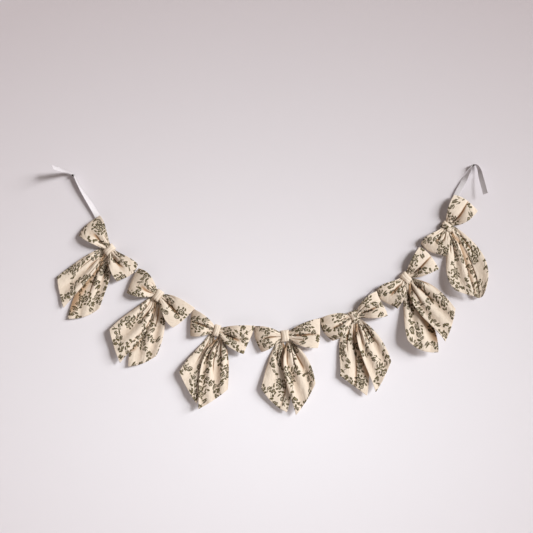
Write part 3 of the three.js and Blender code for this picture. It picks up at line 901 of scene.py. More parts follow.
@dataclass(frozen=True)
class TailSide:
    """One hanging tail of a bow, measured from the middle of the knot.

    Attributes:
        side: -1 for the left tail and 1 for the right one.
        neck_out: Outer edge just clear of the band.
        neck_in: Inner edge just clear of the band.
        shoulder: Outer corner of the slanted end.
        tip: Inner corner of the slanted end.
        outer: How far the outer edge bows outwards at its thirds, from the neck.
        inner: The same of the inner edge.
        end: The same of the slanted end, at its middle.
        y: Where the cloth stands below the neck.
        end_y: Where its end stands.
        hang: Share of the tail that still lies close behind the loops.
        pleats: Broad waves across the tail.
        phase: Their start, in turns.
        depth: How deep they are.
        folds: Narrow grooves.
    """

    side: int
    neck_out: Pair
    neck_in: Pair
    shoulder: Pair
    tip: Pair
    outer: Pair
    inner: Pair
    end: float
    y: float
    end_y: float
    hang: float
    pleats: float
    phase: float
    depth: float
    folds: tuple[Fold, ...] = ()

    fold_y: float = -2.0
    neck_pleat: float = 0.5
    neck_forward: float = 0.1
    gathers: int = 6
    gather_reach: Pair = (0.14, 0.42)
    gather_depth: Pair = (1.6, 3.6)
    bulge: float = 3.6
    tuck: float = 0.0

    def at(self, t: Array, w: Array) -> Array:
        """Finds points on the tail.

        Args:
            t: Share of the length, from 0 at the neck.
            w: Share of the width, from 0 at the outer edge.

        Returns:
            x, y and z in a last axis of three.
        """
        t, w = np.broadcast_arrays(np.asarray(t, float), np.asarray(w, float))
        outer = edge(self.neck_out, self.shoulder, self.outer, t, self.side)
        inner = edge(self.neck_in, self.tip, self.inner, t, -self.side)
        end = edge(self.shoulder, self.tip, (self.end, self.end), w, self.side)
        straight = mix(np.array(self.shoulder, float), np.array(self.tip, float), w[..., None])
        flat = mix(outer, inner, w[..., None]) + (t ** 4)[..., None] * (end - straight)
        hang = ramp(self.hang, self.hang + 0.26, t)
        neck_y = mix(self.fold_y, self.y, self.neck_forward)
        stand = mix(mix(neck_y, self.y, hang), self.end_y, ramp(self.hang + 0.16, 1, t))
        wave = np.cos(2 * math.pi * (self.pleats * w + self.phase))
        depth = mix(self.neck_pleat, 0.75 * self.depth, hang) * (1 - 0.6 * ramp(0.4, 1, t))
        free = mix(0.45, 1, ramp(self.hang * 0.6, self.hang * 0.6 + 0.14, t))
        seed = round(abs(self.shoulder[0] * 7 + self.tip[1] * 3))
        small = gathers(seed, self.gathers, self.gather_reach, self.gather_depth)
        flat, pressed = pressed_in(flat, inner - outer, t, w, (*self.folds, *small), free,
                                   -self.side)
        bulge = self.bulge * ramp(0.0, 0.16, t) * (1 - ramp(0.35, 0.85, t))
        bulge = bulge * np.sin(math.pi * w) ** 0.6
        tucked = self.tuck * ramp(0.5, 0.9, w) * ramp(0.08, 0.25, t) * (1 - ramp(0.75, 1, t))
        y = stand + depth * wave + (pressed - bulge) * free + tucked
        return np.stack([flat[..., 0], y, flat[..., 1]], -1)


def closed(tails: Sequence[TailSide], close: float, fuller: Pair = (3.0, 1.0),
           tuck: float = 3.5) -> list[TailSide]:
    """Brings the inner edges of two tails together under the knot, one over the other.

    Args:
        tails: The left and the right tail.
        close: How far each neck goes to their meeting place, as a share of its distance.
        fuller: How much more the inner edges bow towards each other.
        tuck: How far the front tail's inner part stands off the wall and the back one's goes in.
    """
    meet = np.mean([tail.neck_in for tail in tails], axis=0)
    front = min(tail.y for tail in tails)
    joined = []
    for tail in tails:
        neck = mix(np.array(tail.neck_in, float), meet, close)
        inner = (tail.inner[0] + fuller[0], tail.inner[1] + fuller[1])
        lift = -tuck if tail.y == front else 0.8 * tuck
        joined.append(replace(tail, neck_in=tuple(neck), inner=inner, tuck=lift))
    return joined


def gathered(share: Array, more: float, near: float, far: float) -> Array:
    """Returns how much stronger painted shade in valleys is than on loose cloth, row by row.

    Args:
        share: How far each row is from the knot, as a share of the length.
        more: How much stronger it is at the knot.
        near: The share where it starts to weaken.
        far: The share where it is as on loose cloth.
    """
    return (1 + more * (1 - ramp(near, far, share)))[:, None]


@dataclass
class Bow:
    """One bow: a loop strip, a tail strip and the knot band round them.

    Attributes:
        number: Counts the bows from the left, from 1.
        knot: Where it sits.
        loops: Left and right loop.
        tails: Left and right tail.
        finish: The printed cotton.
    """

    number: int
    knot: Knot
    loops: tuple[LoopSide, LoopSide]
    tails: tuple[TailSide, TailSide]
    finish: Material

    cloth: float = 1.0
    seam: float = 0.8
    loop_across: int = 65
    loop_rows: int = 64
    tail_across: int = 93
    tail_rows: int = 96
    band_round: int = 96
    band_across: int = 21
    band_gap: float = 0.06
    band_inner_height: float = 25.0
    band_back_y: float = -4.4
    band_front_y: float = -15.2
    band_crown: float = 2.8
    band_pleat: float = 1.1
    band_tuck: float = 1.4
    band_back_round: float = 5.0
    band_front_round: float = 2.6
    fold_top: float = 9.0
    fold_low: float = -8.0
    behind_share: float = 0.75
    wall_clear: float = 0.7
    # Painted shade on cloth slopes that face left, away from the lamps.
    left_slope_shade: float = 0.4
    least_cut: float = 0.31
    tail_print: Pair = (41.0, 70.0)

    def loop_points(self) -> Array:
        """Returns the grid of the loop strip, from its seam behind, round both loops, and back."""
        w = np.linspace(0, 1, self.loop_across)[None, :]
        angle = np.linspace(0, math.pi, self.loop_rows)
        angle = (angle + 0.25 * np.sin(2 * angle))[:, None]
        left, right = (loop.at(self.knot, angle, w) for loop in self.loops)
        x, z = on_tilt(self.knot.tilt, self.knot.width / 2 - self.seam, 0)
        butt = np.linspace(0, 1, 7)[1:, None, None] * np.array([x, 0, z])
        through = np.linspace(0, 1, 10)[1:-1, None, None]
        front = mix(left[-1][None], right[-1][None], through)
        return np.concatenate([(left[0][None] + butt)[::-1], left, front, right[::-1],
                               right[0][None] - butt])

    def tail_points(self) -> Array:
        """Returns the grid of the tail strip, from its left end, behind the knot, to its right."""
        left, right = closed(self.tails, self.knot.close)
        w = np.linspace(0, 1, self.tail_across)[None, :]
        t = np.linspace(0, 1, self.tail_rows)[:, None]
        left_tail, right_tail = left.at(t[::-1], w), right.at(t, w)
        x, z = turned(0, mix(self.fold_top, self.fold_low, w[0]), math.radians(self.knot.tilt))
        fold = np.stack([x, np.full(self.tail_across, left.fold_y), z], -1)
        necks = left_tail[-1], right_tail[0]
        behind = [mix(fold, neck, self.behind_share) for neck in necks]
        for point in behind:
            point[:, 1] = left.fold_y
        stations = [necks[0], behind[0], fold, behind[1], necks[1]]
        rows = [mix(here, there, share) for here, there in zip(stations[:-1], stations[1:])
                for share in np.linspace(0, 1, 5)[:-1]]
        return np.concatenate([left_tail[:-1], np.array(rows), right_tail])

    def tail_painted_shade(self, rows: int) -> Array:
        """Returns painted shadow and shade on the tail strip, row by row, from 0 to 1."""
        left, right = closed(self.tails, self.knot.close)
        back, front = (left, right) if left.y > right.y else (right, left)
        w = np.linspace(0, 1, self.tail_across)[None, :]
        t = np.linspace(0, 1, self.tail_rows)
        places, lip = back.at(t[:, None], w)[..., ::2], front.at(t, np.ones_like(t))[..., ::2]
        outward = places[:, 0] - places[:, -1]
        over = np.sum((lip - places[:, -1]) * outward, axis=1) / np.sum(outward ** 2, axis=1)
        line = 1 - over[:, None]
        # Painted shadow on the back tail beside the front tail's edge, where the two tails overlap.
        near = ramp(-0.03, 0.03, over) * ramp(0.03, 0.15, t)
        near = 0.9 * ramp(line - 0.3, line, w) * near[:, None]
        # Painted shade on the inner edges of both necks, under the knot.
        inward = ramp(0.45, 1, w) * (1 - ramp(0.06, 0.24, t))[:, None]
        tail_shade = np.zeros((rows, self.tail_across))
        tail_shade[:self.tail_rows] = np.maximum(inward, near if back is left else 0)[::-1]
        tail_shade[-self.tail_rows:] = np.maximum(inward, 0 if back is left else near)
        return tail_shade

    def band_points(self) -> Array:
        """Returns the grid of the knot band, round from one side of its seam at the back."""
        half = self.knot.width / 2
        a = np.linspace(-half, half, self.band_across)[None, :]
        turn = np.linspace(math.pi / 2 + self.band_gap, math.pi * 2.5 - self.band_gap,
                           self.band_round)[:, None]
        sine, cosine = np.sin(turn), np.cos(turn)
        power = 2 / np.where(sine > 0, self.band_back_round, self.band_front_round)
        tall = np.sign(cosine) * np.abs(cosine) ** power
        deep = np.sign(sine) * np.abs(sine) ** power
        share = a / half
        frontward = np.maximum(0, -sine)
        lean = 0.12 * np.sin(2.3 * turn + self.number)
        pleat = bell(share - 0.15, lean, 0.26) + 0.4 * bell(share + 0.5, lean, 0.2)
        crown = self.band_crown * frontward * (1 - share ** 2)
        out = self.cloth / 2 + 0.15 + crown - self.band_pleat * frontward * pleat
        out = out - self.band_tuck * frontward * share ** 4
        pinch = 1 - 0.1 * frontward * (1 - np.abs(tall) ** 2)
        middle = (self.band_back_y + self.band_front_y) / 2
        half_deep = abs(self.band_front_y - self.band_back_y) / 2
        b = (self.band_inner_height / 2 + out) * tall
        wide = a * pinch * (1 + 0.05 * np.sin(2 * turn + 1.7 * self.number))
        x, z = turned(wide, b, math.radians(self.knot.tilt))
        return np.stack(np.broadcast_arrays(x, middle + (half_deep + out) * deep, z), -1)

    def strip(self, name: str, points: Array, crumple: Crumple, cut_at: Pair, turn: float,
              shade_gain: float | Array = 1.0,
              covered: Optional[Array] = None) -> Piece:
        """Args:
            name: The CAD node that it stands for; the piece is this name with _cloth added.
            points: Its grid, measured from the knot.
            crumple: Its small creases.
            cut_at: Where in the printed cloth it was cut.
            turn: How far it was turned when cut, in degrees.
            shade_gain: Strength of its painted shade, as gathered in ClothSheet.
            covered: Painted shadow and shade, as covered in ClothSheet.
        """
        widths = np.linalg.norm(np.diff(points, axis=1), axis=2).sum(axis=1)
        lengths = np.linalg.norm(np.diff(points, axis=0), axis=2).sum(axis=0)
        width, long = float(np.quantile(widths, 0.95)), float(lengths.mean())
        creased = points + np.array([self.knot.x, 0.0, self.knot.z])
        level = flat_cloth(points, width)
        creased[..., 1] += crumple.at(level[..., 0], level[..., 1])
        creased[..., 1] = np.minimum(creased[..., 1], -self.wall_clear)
        piece = ClothSheet(f"{name}_cloth", creased, flat_cloth(points, width, cut_at, turn),
                           self.cloth, covered, shade_gain, self.left_slope_shade).build()
        dress(piece, self.finish, name, Slot.COTTON)
        area = float((widths[:-1] * lengths.mean() / (len(widths) - 1)).sum())
        cut = min(1.0, max(self.least_cut, area / (width * long)))
        cut * width * long * MM * MM
        LOG.info("%s: cut %.0f x %.0f mm, %d faces", piece.name, width, long,
                 len(piece.data.polygons))
        return piece

    def build(self) -> list[Piece]:
        """Makes the loops, the tails and the knot band."""
        n, at, turn = self.number, self.knot.print_at, self.knot.print_turn
        loops, tails, band = f"loops_{n}", f"tails_{n}", f"knot_{n}"
        further = (at[0] + self.tail_print[0], at[1] + self.tail_print[1])
        looped, hanging = self.loop_points(), self.tail_points()
        from_knot = np.abs(np.linspace(-1, 1, len(looped)))
        down = np.linspace(0, 1, self.tail_rows)
        between = np.zeros(len(hanging) - 2 * self.tail_rows)
        from_neck = np.concatenate([down[::-1], between, down])
        return [
            # Painted shade is stronger near the knot, and the tails get painted shadow and shade from
            # tail_painted_shade.
            self.strip(loops, looped, Crumple(10 + n), at, turn,
                       gathered(from_knot, 1.4, 0.05, 0.36)),
            self.strip(tails, hanging, Crumple(30 + n), further, turn,
                       gathered(from_neck, 1.8, 0.08, 0.45), self.tail_painted_shade(len(hanging))),
            self.strip(band, self.band_points(), Crumple(50 + n, 0.3), self.knot.band_print, 0.0),
        ]


def groove(start: float, end: float, reach: float, depth: float, width: float) -> Fold:
    """Returns a fold from its five sizes, its reach and depth as they look when it has faded."""
    return Fold(start, end, 1.3 * reach, 2.2 * depth, width)


KNOTS = (
    Knot(-391.7, -189.5, -50, 16, (6, 10), 12),
    Knot(-275.5, -298.7, -36, 17, (31, 34), -8, band_print=(52, 147)),
    Knot(-135.4, -382.7, -17, 15, (12, 118), 5, 0.0),
    Knot(28.3, -395.9, 6, 20, (64, 196), -14, 0.0),
    Knot(193.9, -349.1, 25, 20, (3, 240), 9, band_print=(30, 120)),
    Knot(317.5, -256.7, 45, 18, (25, 305), -4),
    Knot(415.9, -134.3, 56, 17, (50, 377), 16, band_print=(40, 60)),
)

LOOPS = (
    (LoopSide(-1, (-23, 81), (-73, 34), (2, 5), (1, 2), (4, 5), 4.5, 0.36,
              (groove(0.45, 0.4, 0.55, 3.0, 0.08),)),
     LoopSide(1, (68, -35), (19, -76), (1, 3), (6, 6), (9, 6), 5, 0.45,
              (groove(0.4, 0.5, 0.6, 3.5, 0.09), groove(0.75, 0.7, 0.35, 1.6, 0.06)))),
    (LoopSide(-1, (-46, 64), (-75, 6), (8, 10), (5, 5), (3, 2), 5, 0.42,
              (groove(0.35, 0.4, 0.45, 2.4, 0.07),)),
     LoopSide(1, (88, -30), (36, -77), (7, 5), (5, 7), (3, 3), 5, 0.5,
              (groove(0.5, 0.48, 0.7, 3.4, 0.07),))),
    (LoopSide(-1, (-58, 52), (-62, -13), (5, 5), (2, 3), (2, 2), 4.5, 0.5,
              (groove(0.5, 0.55, 0.8, 3.2, 0.07), groove(0.2, 0.25, 0.3, 1.5, 0.06))),
     LoopSide(1, (91, 11), (65, -56), (3, 3), (6, 6), (1, 0), 5, 0.42,
              (groove(0.5, 0.38, 0.6, 3.2, 0.07), groove(0.75, 0.7, 0.3, 1.5, 0.06)))),
    (LoopSide(-1, (-72, 23), (-56, -38), (5, 5), (2, 3), (6, 5), 4, 0.5,
              (groove(0.5, 0.5, 0.65, 2.8, 0.06),)),
     LoopSide(1, (83, 42), (78, -28), (5, 5), (7, 6), (2, 3), 5, 0.46,
              (groove(0.5, 0.48, 0.8, 2.6, 0.05), groove(0.25, 0.3, 0.5, 2.0, 0.06)))),
    (LoopSide(-1, (-82, -5), (-52, -58), (7, 6), (4, 7), (8, 7), 4, 0.5,
              (groove(0.4, 0.45, 0.65, 2.4, 0.06), groove(0.65, 0.6, 0.35, 1.6, 0.06))),
     LoopSide(1, (53, 60), (79, 2), (7, 7), (2, 3), (-1, 1), 4.5, 0.45,
              (groove(0.4, 0.42, 0.65, 2.4, 0.06), groove(0.7, 0.72, 0.4, 1.6, 0.06)))),
    (LoopSide(-1, (-71, -33), (-20, -74), (3, 7), (6, 5), (8, 4), 5, 0.55,
              (groove(0.55, 0.5, 0.65, 3.4, 0.08), groove(0.25, 0.3, 0.4, 2.2, 0.07))),
     LoopSide(1, (32, 74), (78, 21), (3, 3), (4, 3), (5, 4), 5, 0.42,
              (groove(0.45, 0.48, 0.95, 3.2, 0.06),))),
    (LoopSide(-1, (-63, -41), (-3, -72), (2, 6), (4, 4), (7, 4), 5, 0.5,
              (groove(0.62, 0.6, 0.55, 3.0, 0.07), groove(0.35, 0.35, 0.5, 2.8, 0.07))),
     LoopSide(1, (16, 75), (72, 37), (5, 5), (8, 7), (6, 5), 4.5, 0.4,
              (groove(0.42, 0.45, 0.9, 3.0, 0.06),))),
)

TAILS = (
    (TailSide(-1, (-22, 3), (-16, -11), (-125, -65), (-110, -139), (4, 3), (2, 2), 2, -12, -10, 0,
              1.6, 0.1, 4, (groove(0.3, 0.36, 0.5, 3.4, 0.1), groove(0.62, 0.6, 0.35, 2.6, 0.08),
                            groove(0.86, 0.8, 0.55, 2.4, 0.09))),
     TailSide(1, (4, -23), (-8, -18), (-24, -140), (-100, -165), (7, 4), (12, 13), 7, -7, -8, 0.2,
              2.2, 0.5, 3.5, (groove(0.25, 0.3, 0.35, 3.0, 0.1), groove(0.6, 0.55, 0.65, 3.0, 0.1),
                              groove(0.85, 0.8, 0.4, 2.4, 0.08)))),
    (TailSide(-1, (-17, -2), (-13, -15), (-115, -82), (-90, -161), (1, 3), (13, 9), 2, -15, -20, 0,
              1.8, 0.2, 4.5, (groove(0.3, 0.35, 0.45, 3.2, 0.1), groove(0.6, 0.55, 0.35, 2.8, 0.08),
                              groove(0.9, 0.85, 0.7, 2.8, 0.12))),
     TailSide(1, (10, -20), (-2, -20), (-4, -144), (-71, -170), (11, 10), (12, 14), 5, -7, -11, 0.2,
              2.4, 0.4, 3.5, (groove(0.35, 0.35, 0.4, 3.4, 0.09), groove(0.75, 0.7, 0.5, 3.4, 0.1),
                              groove(0.55, 0.5, 0.3, 2.4, 0.07)))),
    (TailSide(-1, (-20, -13), (-6, -19), (-89, -99), (-48, -174), (1, 3), (8, 8), 2, -8, -19, 0.18,
              1.7, 0.3, 3.5, (groove(0.35, 0.3, 0.5, 2.8, 0.1), groove(0.7, 0.65, 0.45, 3.2, 0.1))),
     TailSide(1, (15, -19), (2, -19), (27, -140), (-43, -187), (8, 6), (17, 13), 2, -15, -24, 0,
              2.2, 0.1, 5, (groove(0.75, 0.85, 0.3, 3.6, 0.08), groove(0.5, 0.55, 0.5, 4.0, 0.1),
                            groove(0.28, 0.3, 0.4, 3.2, 0.08)))),
    (TailSide(-1, (-17, -15), (-3, -19), (-57, -124), (4, -182), (6, 4), (10, 13), 6, -8, -15, 0.18,
              1.6, 0.2, 3.5, (groove(0.35, 0.35, 0.35, 3.2, 0.09), groove(0.65, 0.7, 0.4, 3.0, 0.09),
                              groove(0.8, 0.75, 0.95, 2.2, 0.15))),
     TailSide(1, (16, -15), (4, -18), (72, -113), (26, -188), (12, 11), (14, 9), 3, -15, -20, 0,
              2.2, 0.45, 5, (groove(0.45, 0.5, 0.45, 4.2, 0.09), groove(0.25, 0.3, 0.5, 3.2, 0.08),
                             groove(0.75, 0.75, 0.3, 2.8, 0.08)))),
    (TailSide(-1, (-12, -21), (1, -20), (-34, -142), (30, -189), (15, 8), (8, 12), 0, -8, -14, 0.18,
              1.8, 0.0, 3.5, (groove(0.3, 0.3, 0.45, 3.0, 0.09), groove(0.6, 0.55, 0.9, 2.8, 0.12),
                              groove(0.85, 0.85, 0.4, 2.6, 0.08))),
     TailSide(1, (19, -9), (9, -16), (87, -107), (51, -180), (9, 9), (6, 4), 2, -15, -21, 0,
              2.0, 0.4, 5, (groove(0.4, 0.5, 0.4, 4.0, 0.1), groove(0.7, 0.75, 0.3, 2.8, 0.07),
                            groove(0.2, 0.2, 0.5, 2.4, 0.1)))),
    (TailSide(-1, (-8, -20), (5, -19), (2, -148), (75, -177), (1, 3), (6, 12), 9, -9, -31, 0.18,
              2.0, 0.3, 3.5, (groove(0.35, 0.4, 0.4, 3.0, 0.09), groove(0.7, 0.7, 0.6, 2.8, 0.12))),
     TailSide(1, (22, -3), (15, -12), (115, -74), (91, -151), (12, 10), (15, 8), 3, -16, -36, 0,
              2.3, 0.1, 3.6, (groove(0.35, 0.4, 0.45, 3.0, 0.09), groove(0.7, 0.7, 0.35, 3.4, 0.09)))),
    (TailSide(-1, (-6, -20), (7, -18), (18, -152), (66, -167), (3, 12), (2, 0), 1, -6.6, -28, 0.08,
              1.4, 0.3, 2.5, (groove(0.3, 0.3, 0.3, 2.6, 0.08), groove(0.55, 0.5, 0.35, 3.0, 0.08),
                              groove(0.8, 0.8, 0.25, 2.4, 0.07))),
     TailSide(1, (22, -2), (17, -8), (87, -163), (66, -167), (29, 34), (12, 12), 5, -4.5, -14, 0.3,
              1.6, 0.5, 3.5, (groove(0.5, 0.5, 1.1, 3.0, 0.2), groove(0.2, 0.25, 0.35, 2.4, 0.07)))),
)


# ---------------------------------------------------------------- the ribbon


@dataclass(frozen=True)
class Stop:
    """A point on the ribbon's route.

    Attributes:
        x: Along the wall.
        y: From the wall.
        z: Up.
        turn: 0 with its flat side to the wall, 90 with its flat side on a nail.
    """

    x: float
    y: float
    z: float
    turn: float


@dataclass
class Ribbon:
    """The satin ribbon: one length from free end to free end."""

    width: float = 12.7
    thick: float = 0.5
    y: float = -6.0
    rise: float = 1.5
    step: float = 2.5
    across: int = 9
    cup: float = 0.35
    start: tuple[Stop, ...] = (
        Stop(-520.7, -62, 4.3, 64), Stop(-510, -45, 1.2, 65), Stop(-500.2, -28.5, -1.4, 72),
        Stop(-489.5, -13.2, -4.1, 84), Stop(-478.4, -9, -10.25, 90), Stop(-477.3, -9, -11.6, 90),
        Stop(-468.5, -8, -31, 80), Stop(-455, -6.4, -54.5, 60), Stop(-438.5, -6, -80, 36),
        Stop(-420, -6, -113, 8))
    between: tuple[Stop, ...] = (
        Stop(-328.5, -7.2, -241, 70), Stop(-192, -6, -336, 0), Stop(-45, -6, -379, 0),
        Stop(111, -6, -360, 0), Stop(244, -6, -292, 0), Stop(356, -6, -188, 0))
    end: tuple[Stop, ...] = (
        Stop(439.5, -6, -58, 0), Stop(454, -6.4, -31, 14), Stop(466.5, -7.8, -7.5, 58),
        Stop(477.4, -9, 12.9, 90), Stop(479, -9, 13.85, 90), Stop(486, -9.6, 12.8, 102),
        Stop(492.4, -13, 1.6, 122), Stop(495.2, -18, -12, 138), Stop(499, -24, -29.4, 144),
        Stop(505.4, -30, -56.6, 146))

    def route(self) -> list[Stop]:
        """Returns every point that the ribbon runs through."""
        stops = list(self.start)
        for i, knot in enumerate(KNOTS):
            x, z = on_tilt(knot.tilt, 0, self.rise)
            stops.append(Stop(knot.x + x, self.y, knot.z + z, 0))
            stops += self.between[i:i + 1]
        return stops + list(self.end)

    def line(self) -> tuple[Array, Array]:
        """Returns closely spaced points along the route and the turn at each, in radians."""
        stops = self.route()
        places = np.array([(s.x, s.y, s.z) for s in stops])
        turns = [s.turn for s in stops]
        ends = np.concatenate([[2 * places[0] - places[1]], places, [2 * places[-1] - places[-2]]])
        points, turning = [], []
        for i in range(len(places) - 1):
            p0, p1, p2, p3 = ends[i:i + 4]
            d0, d1, d2 = (math.sqrt(np.linalg.norm(b - a))
                          for a, b in ((p0, p1), (p1, p2), (p2, p3)))
            m1 = ((p1 - p0) / d0 - (p2 - p0) / (d0 + d1) + (p2 - p1) / d1) * d1
            m2 = ((p2 - p1) / d1 - (p3 - p1) / (d1 + d2) + (p3 - p2) / d2) * d1
            count = max(2, round(float(np.linalg.norm(p2 - p1)) / self.step))
            last = i == len(places) - 2
            for share in np.linspace(0, 1, count + 1)[:None if last else -1]:
                t2, t3 = share ** 2, share ** 3
                points.append((2 * t3 - 3 * t2 + 1) * p1 + (t3 - 2 * t2 + share) * m1
                              + (3 * t2 - 2 * t3) * p2 + (t3 - t2) * m2)
                eased = float(ramp(0, 1, share)) * 0.5 + share * 0.5
                turning.append(mix(turns[i], turns[i + 1], eased))
        return np.array(points), np.radians(turning)

    def build(self, finish: Material) -> Piece:
        line, turn = self.line()
        run = unit(np.gradient(line, axis=0))
        wallward = np.array([0.0, 1.0, 0.0])
        flat = unit(np.cross(run, wallward))
        wide = flat * np.cos(turn)[:, None] + wallward * np.sin(turn)[:, None]
        wide = unit(wide - run * np.sum(run * wide, axis=1, keepdims=True))
        w = np.linspace(-0.5, 0.5, self.across)
        bulge = self.cup * (1 - (2 * w) ** 2)
        points = (line[:, None] + wide[:, None] * (w * self.width)[None, :, None]
                  + np.cross(run, wide)[:, None] * bulge[None, :, None])
        long = float(np.linalg.norm(np.diff(line, axis=0), axis=1).sum())
        piece = ClothSheet("ribbon_satin", points, flat_cloth(points, self.width),
                           self.thick).build()
        dress(piece, finish, "ribbon", Slot.SATIN)
        self.width * MM
        LOG.info("%s: %.0f mm long, %d faces", piece.name, long, len(piece.data.polygons))
        return piece


# ---------------------------------------------------------------- the nails


@dataclass
class Nail:
    """A small wall nail with a flat, slightly rounded head.

    Attributes:
        node: The CAD node that it stands for.
        x: Middle of the nail along the wall.
        z: Middle of the nail upwards.
    """

    node: str
    x: float
    z: float
    shank: float = 1.0
    head: float = 2.3
    proud: float = 18.0
    head_thick: float = 0.9
    sides: int = 32
    rounding: float = 0.22
    rounding_steps: int = 3
    smooth_under: float = 40.0

    def build(self, finish: Material) -> Piece:
        """Models the nail in its steel from a cylinder that is widened and drawn out.

        The widening takes in more than the face picked at the room end, as edit mode starts with
        more selected, so the nail is as thick as its head all along.
        """
        bpy.ops.object.select_all(action="DESELECT")
        shank_length = self.proud - self.head_thick
        bpy.ops.mesh.primitive_cylinder_add(
            vertices=self.sides, radius=self.shank * MM, depth=shank_length * MM,
            location=(self.x * MM, -shank_length / 2 * MM, self.z * MM),
            rotation=(math.pi / 2, 0, 0))
        piece = bpy.context.object
        piece.name = f"{self.node}_steel"
        bpy.ops.object.transform_apply(location=True, rotation=True, scale=True)
        room_end = min(f.center.y for f in piece.data.polygons)
        for face in piece.data.polygons:
            face.select = abs(face.center.y - room_end) < 1e-6 and abs(face.normal.y) > 0.9
        bpy.ops.object.mode_set(mode="EDIT")
        bpy.ops.mesh.select_mode(type="FACE")
        bpy.ops.mesh.extrude_region_move(TRANSFORM_OT_translate={"value": (0, 0, 0)})
        grow = self.head / self.shank
        middle = (self.x * MM, room_end, self.z * MM)
        bpy.ops.transform.resize(value=(grow, 1, grow), center_override=middle)
        bpy.ops.mesh.extrude_region_move(
            TRANSFORM_OT_translate={"value": (0, -self.head_thick * MM, 0)})
        bpy.ops.object.mode_set(mode="OBJECT")
        bevel = piece.modifiers.new("rounded_edges", "BEVEL")
        bevel.width = self.rounding * MM
        bevel.segments = self.rounding_steps
        bevel.limit_method = "ANGLE"
        bpy.ops.object.modifier_apply(modifier=bevel.name)
        face_outwards(piece)
        bpy.ops.object.shade_smooth_by_angle(angle=math.radians(self.smooth_under))
        dress(piece, finish, self.node, Slot.STEEL)
        LOG.info("%s: %d faces", piece.name, len(piece.data.polygons))
        return piece


# ---------------------------------------------------------------- the studio


@dataclass(frozen=True)
class Lamp:
    """A distant lamp: its power, its spread in degrees and where its light goes."""

    name: str
    power: float
    spread: float
    toward: Triple


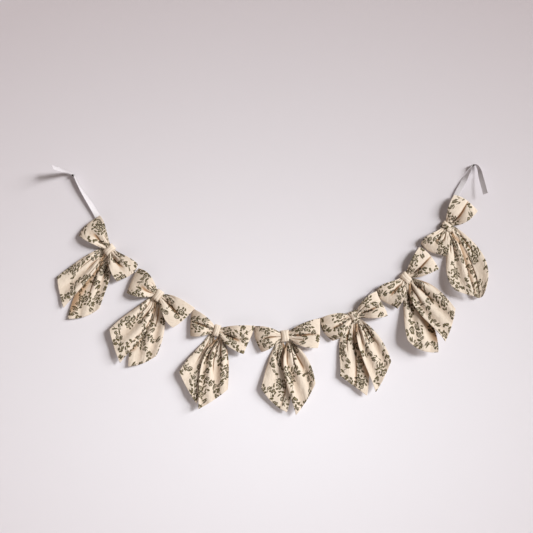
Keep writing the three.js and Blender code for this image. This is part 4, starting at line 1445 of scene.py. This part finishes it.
@dataclass
class Studio:
    """The pale wall and floor, the soft light and the camera. Sizes in metres."""

    wall_gap: float = 0.0006
    wall_half_width: float = 4.0
    wall_top: float = 2.4
    # The wall carries a painted falloff of light: wall_light round bright_middle, fading to wall_dark
    # at bright_reach.
    wall_light: tuple[int, int, int] = (237, 235, 240)
    wall_dark: tuple[int, int, int] = (195, 186, 189)
    bright_middle: Pair = (0.05, -0.55)
    bright_squash: float = 0.72
    bright_reach: float = 0.95
    floor_z: float = -1.5
    floor_reach: float = 4.0
    floor_paint: tuple[int, int, int] = (238, 234, 232)
    lamps: tuple[Lamp, ...] = (
        Lamp("key_light", 2.14, 13, (-0.6, 0.75, -0.28)),
        Lamp("side_light", 1.56, 20, (-0.78, 0.55, -0.3)),
        Lamp("back_light", 0.6, 40, (0.3, -0.88, -0.36)))
    lamp_colour: Triple = (0.98, 0.995, 1.0)
    room_colour: Triple = (1.0, 0.79, 0.63)
    room_strength: float = 0.15
    room_seen: tuple[int, int, int] = (226, 221, 221)
    middle: Triple = (-0.016, 0.0, -0.230)
    view_width: float = 1.279
    lens: float = 100.0
    sensor: float = 36.0
    far_clip: float = 50.0

    def plane(self, name: str, low: Triple, high: Triple, finish: Material) -> None:
        """Makes a flat stage piece, level from side to side, from two opposite corners."""
        (x, y, z), (far_x, far_y, far_z) = low, high
        corners = [(x, y, z), (far_x, y, z), (far_x, far_y, far_z), (x, far_y, far_z)]
        mesh = bpy.data.meshes.new(name)
        mesh.from_pydata(corners, [], [(0, 1, 2, 3)])
        mesh.materials.append(finish)
        in_scene(name, mesh)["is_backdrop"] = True

    def wall_finish(self) -> Material:
        """Returns matt wall paint, open from behind, with painted light on it: brightest round a point
        low in the middle and darker towards its upper corners.

        Light from behind passes through it too, so the backs of the bows can be seen.
        """
        material, board, shader = new_material("wall_paint")
        x, _, z = board.parts(board.signal(board.node("TexCoord"), "Object"))
        # Painted light: the wall is painted brighter round bright_middle and darker away from it.
        x = (x - self.bright_middle[0]) * self.bright_squash
        share = length(x, z - self.bright_middle[1]).scaled(1 / self.bright_reach, -0.1, clamp=True)
        board.fill(shader, {
            "Base Color": board.blend(share, linear(*self.wall_light), linear(*self.wall_dark)),
            "Roughness": 1.0, "Specular IOR Level": 0.0})
        behind = largest(board.signal(board.node("NewGeometry"), "Backfacing"),
                         board.signal(board.node("LightPath"), "Is Shadow Ray"))
        board.show(behind, shader, board.node("BsdfTransparent"))
        return material

    def build_stage(self) -> None:
        """Puts up the wall and lays the floor."""
        w, low, y = self.wall_half_width, self.floor_z, self.wall_gap
        self.plane("backdrop_wall", (-w, y, low), (w, y, self.wall_top), self.wall_finish())
        material, board, shader = new_material("pale_floor")
        board.fill(shader, {"Base Color": linear(*self.floor_paint), "Roughness": 0.9})
        self.plane("floor", (-w, -self.floor_reach, low), (w, y, low), material)

    def build_lights(self) -> None:
        """Sets two broad soft lamps to the right, a weak one behind and even light all round."""
        for lamp in self.lamps:
            data = bpy.data.lights.new(lamp.name, "SUN")
            data.energy = lamp.power
            data.angle = math.radians(lamp.spread)
            data.color = self.lamp_colour
            light = in_scene(lamp.name, data)
            light.rotation_mode = "QUATERNION"
            light.rotation_quaternion = Vector(lamp.toward).to_track_quat("-Z", "Y")
        world = bpy.data.worlds.new("soft_room")
        world.use_nodes = True
        board = Board(world.node_tree)
        sky = next(n for n in world.node_tree.nodes if n.type == "BACKGROUND")
        board.fill(sky, {"Color": (*self.room_colour, 1.0), "Strength": self.room_strength})
        seen = board.node("Background", {"Color": linear(*self.room_seen)})
        path = board.node("LightPath")
        direct = largest(*(board.signal(path, f"Is {ray} Ray")
                           for ray in ("Camera", "Glossy", "Transmission")))
        board.show(direct, sky, seen)
        bpy.context.scene.world = world

    def build_camera(self) -> None:
        """Sets the camera straight on to the wall."""
        data = bpy.data.cameras.new("camera")
        data.lens = self.lens
        data.sensor_width = self.sensor
        data.clip_end = self.far_clip
        camera = in_scene("camera", data)
        distance = self.view_width * self.lens / self.sensor
        camera.location = (self.middle[0], -distance, self.middle[2])
        camera.rotation_euler = (math.pi / 2, 0, 0)
        bpy.context.scene.camera = camera

    def build(self) -> None:
        """Makes the whole studio."""
        self.build_camera()
        self.build_stage()
        self.build_lights()
        bpy.context.scene.view_settings.view_transform = "Standard"


# ---------------------------------------------------------------- the garland


def build_garland() -> list[Piece]:
    """Builds the seven bows, the ribbon and the two nails, in order."""
    cotton, satin, steel = PrintedCotton().make(), WhiteSatin().make(), DarkSteel().make()
    pieces = []
    for number, (knot, loops, tails) in enumerate(zip(KNOTS, LOOPS, TAILS), start=1):
        pieces += Bow(number, knot, loops, tails, cotton).build()
    pieces.append(Ribbon().build(satin))
    for nail in (Nail("nail_left", -479, -12), Nail("nail_right", 479, 12)):
        pieces.append(nail.build(steel))
    return pieces


def corners() -> list[list[float]]:
    """Returns the lowest and the highest corner of what is shown, as plain lists."""
    low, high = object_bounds()
    return [list(low), list(high)]


def main() -> None:
    """Builds the studio and the garland."""
    logging.basicConfig(level=logging.INFO, format="%(name)s: %(message)s")
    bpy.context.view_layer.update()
    Studio().build()
    LOG.info("%d pieces", len(build_garland()))


if __name__ == "__main__":
    main()
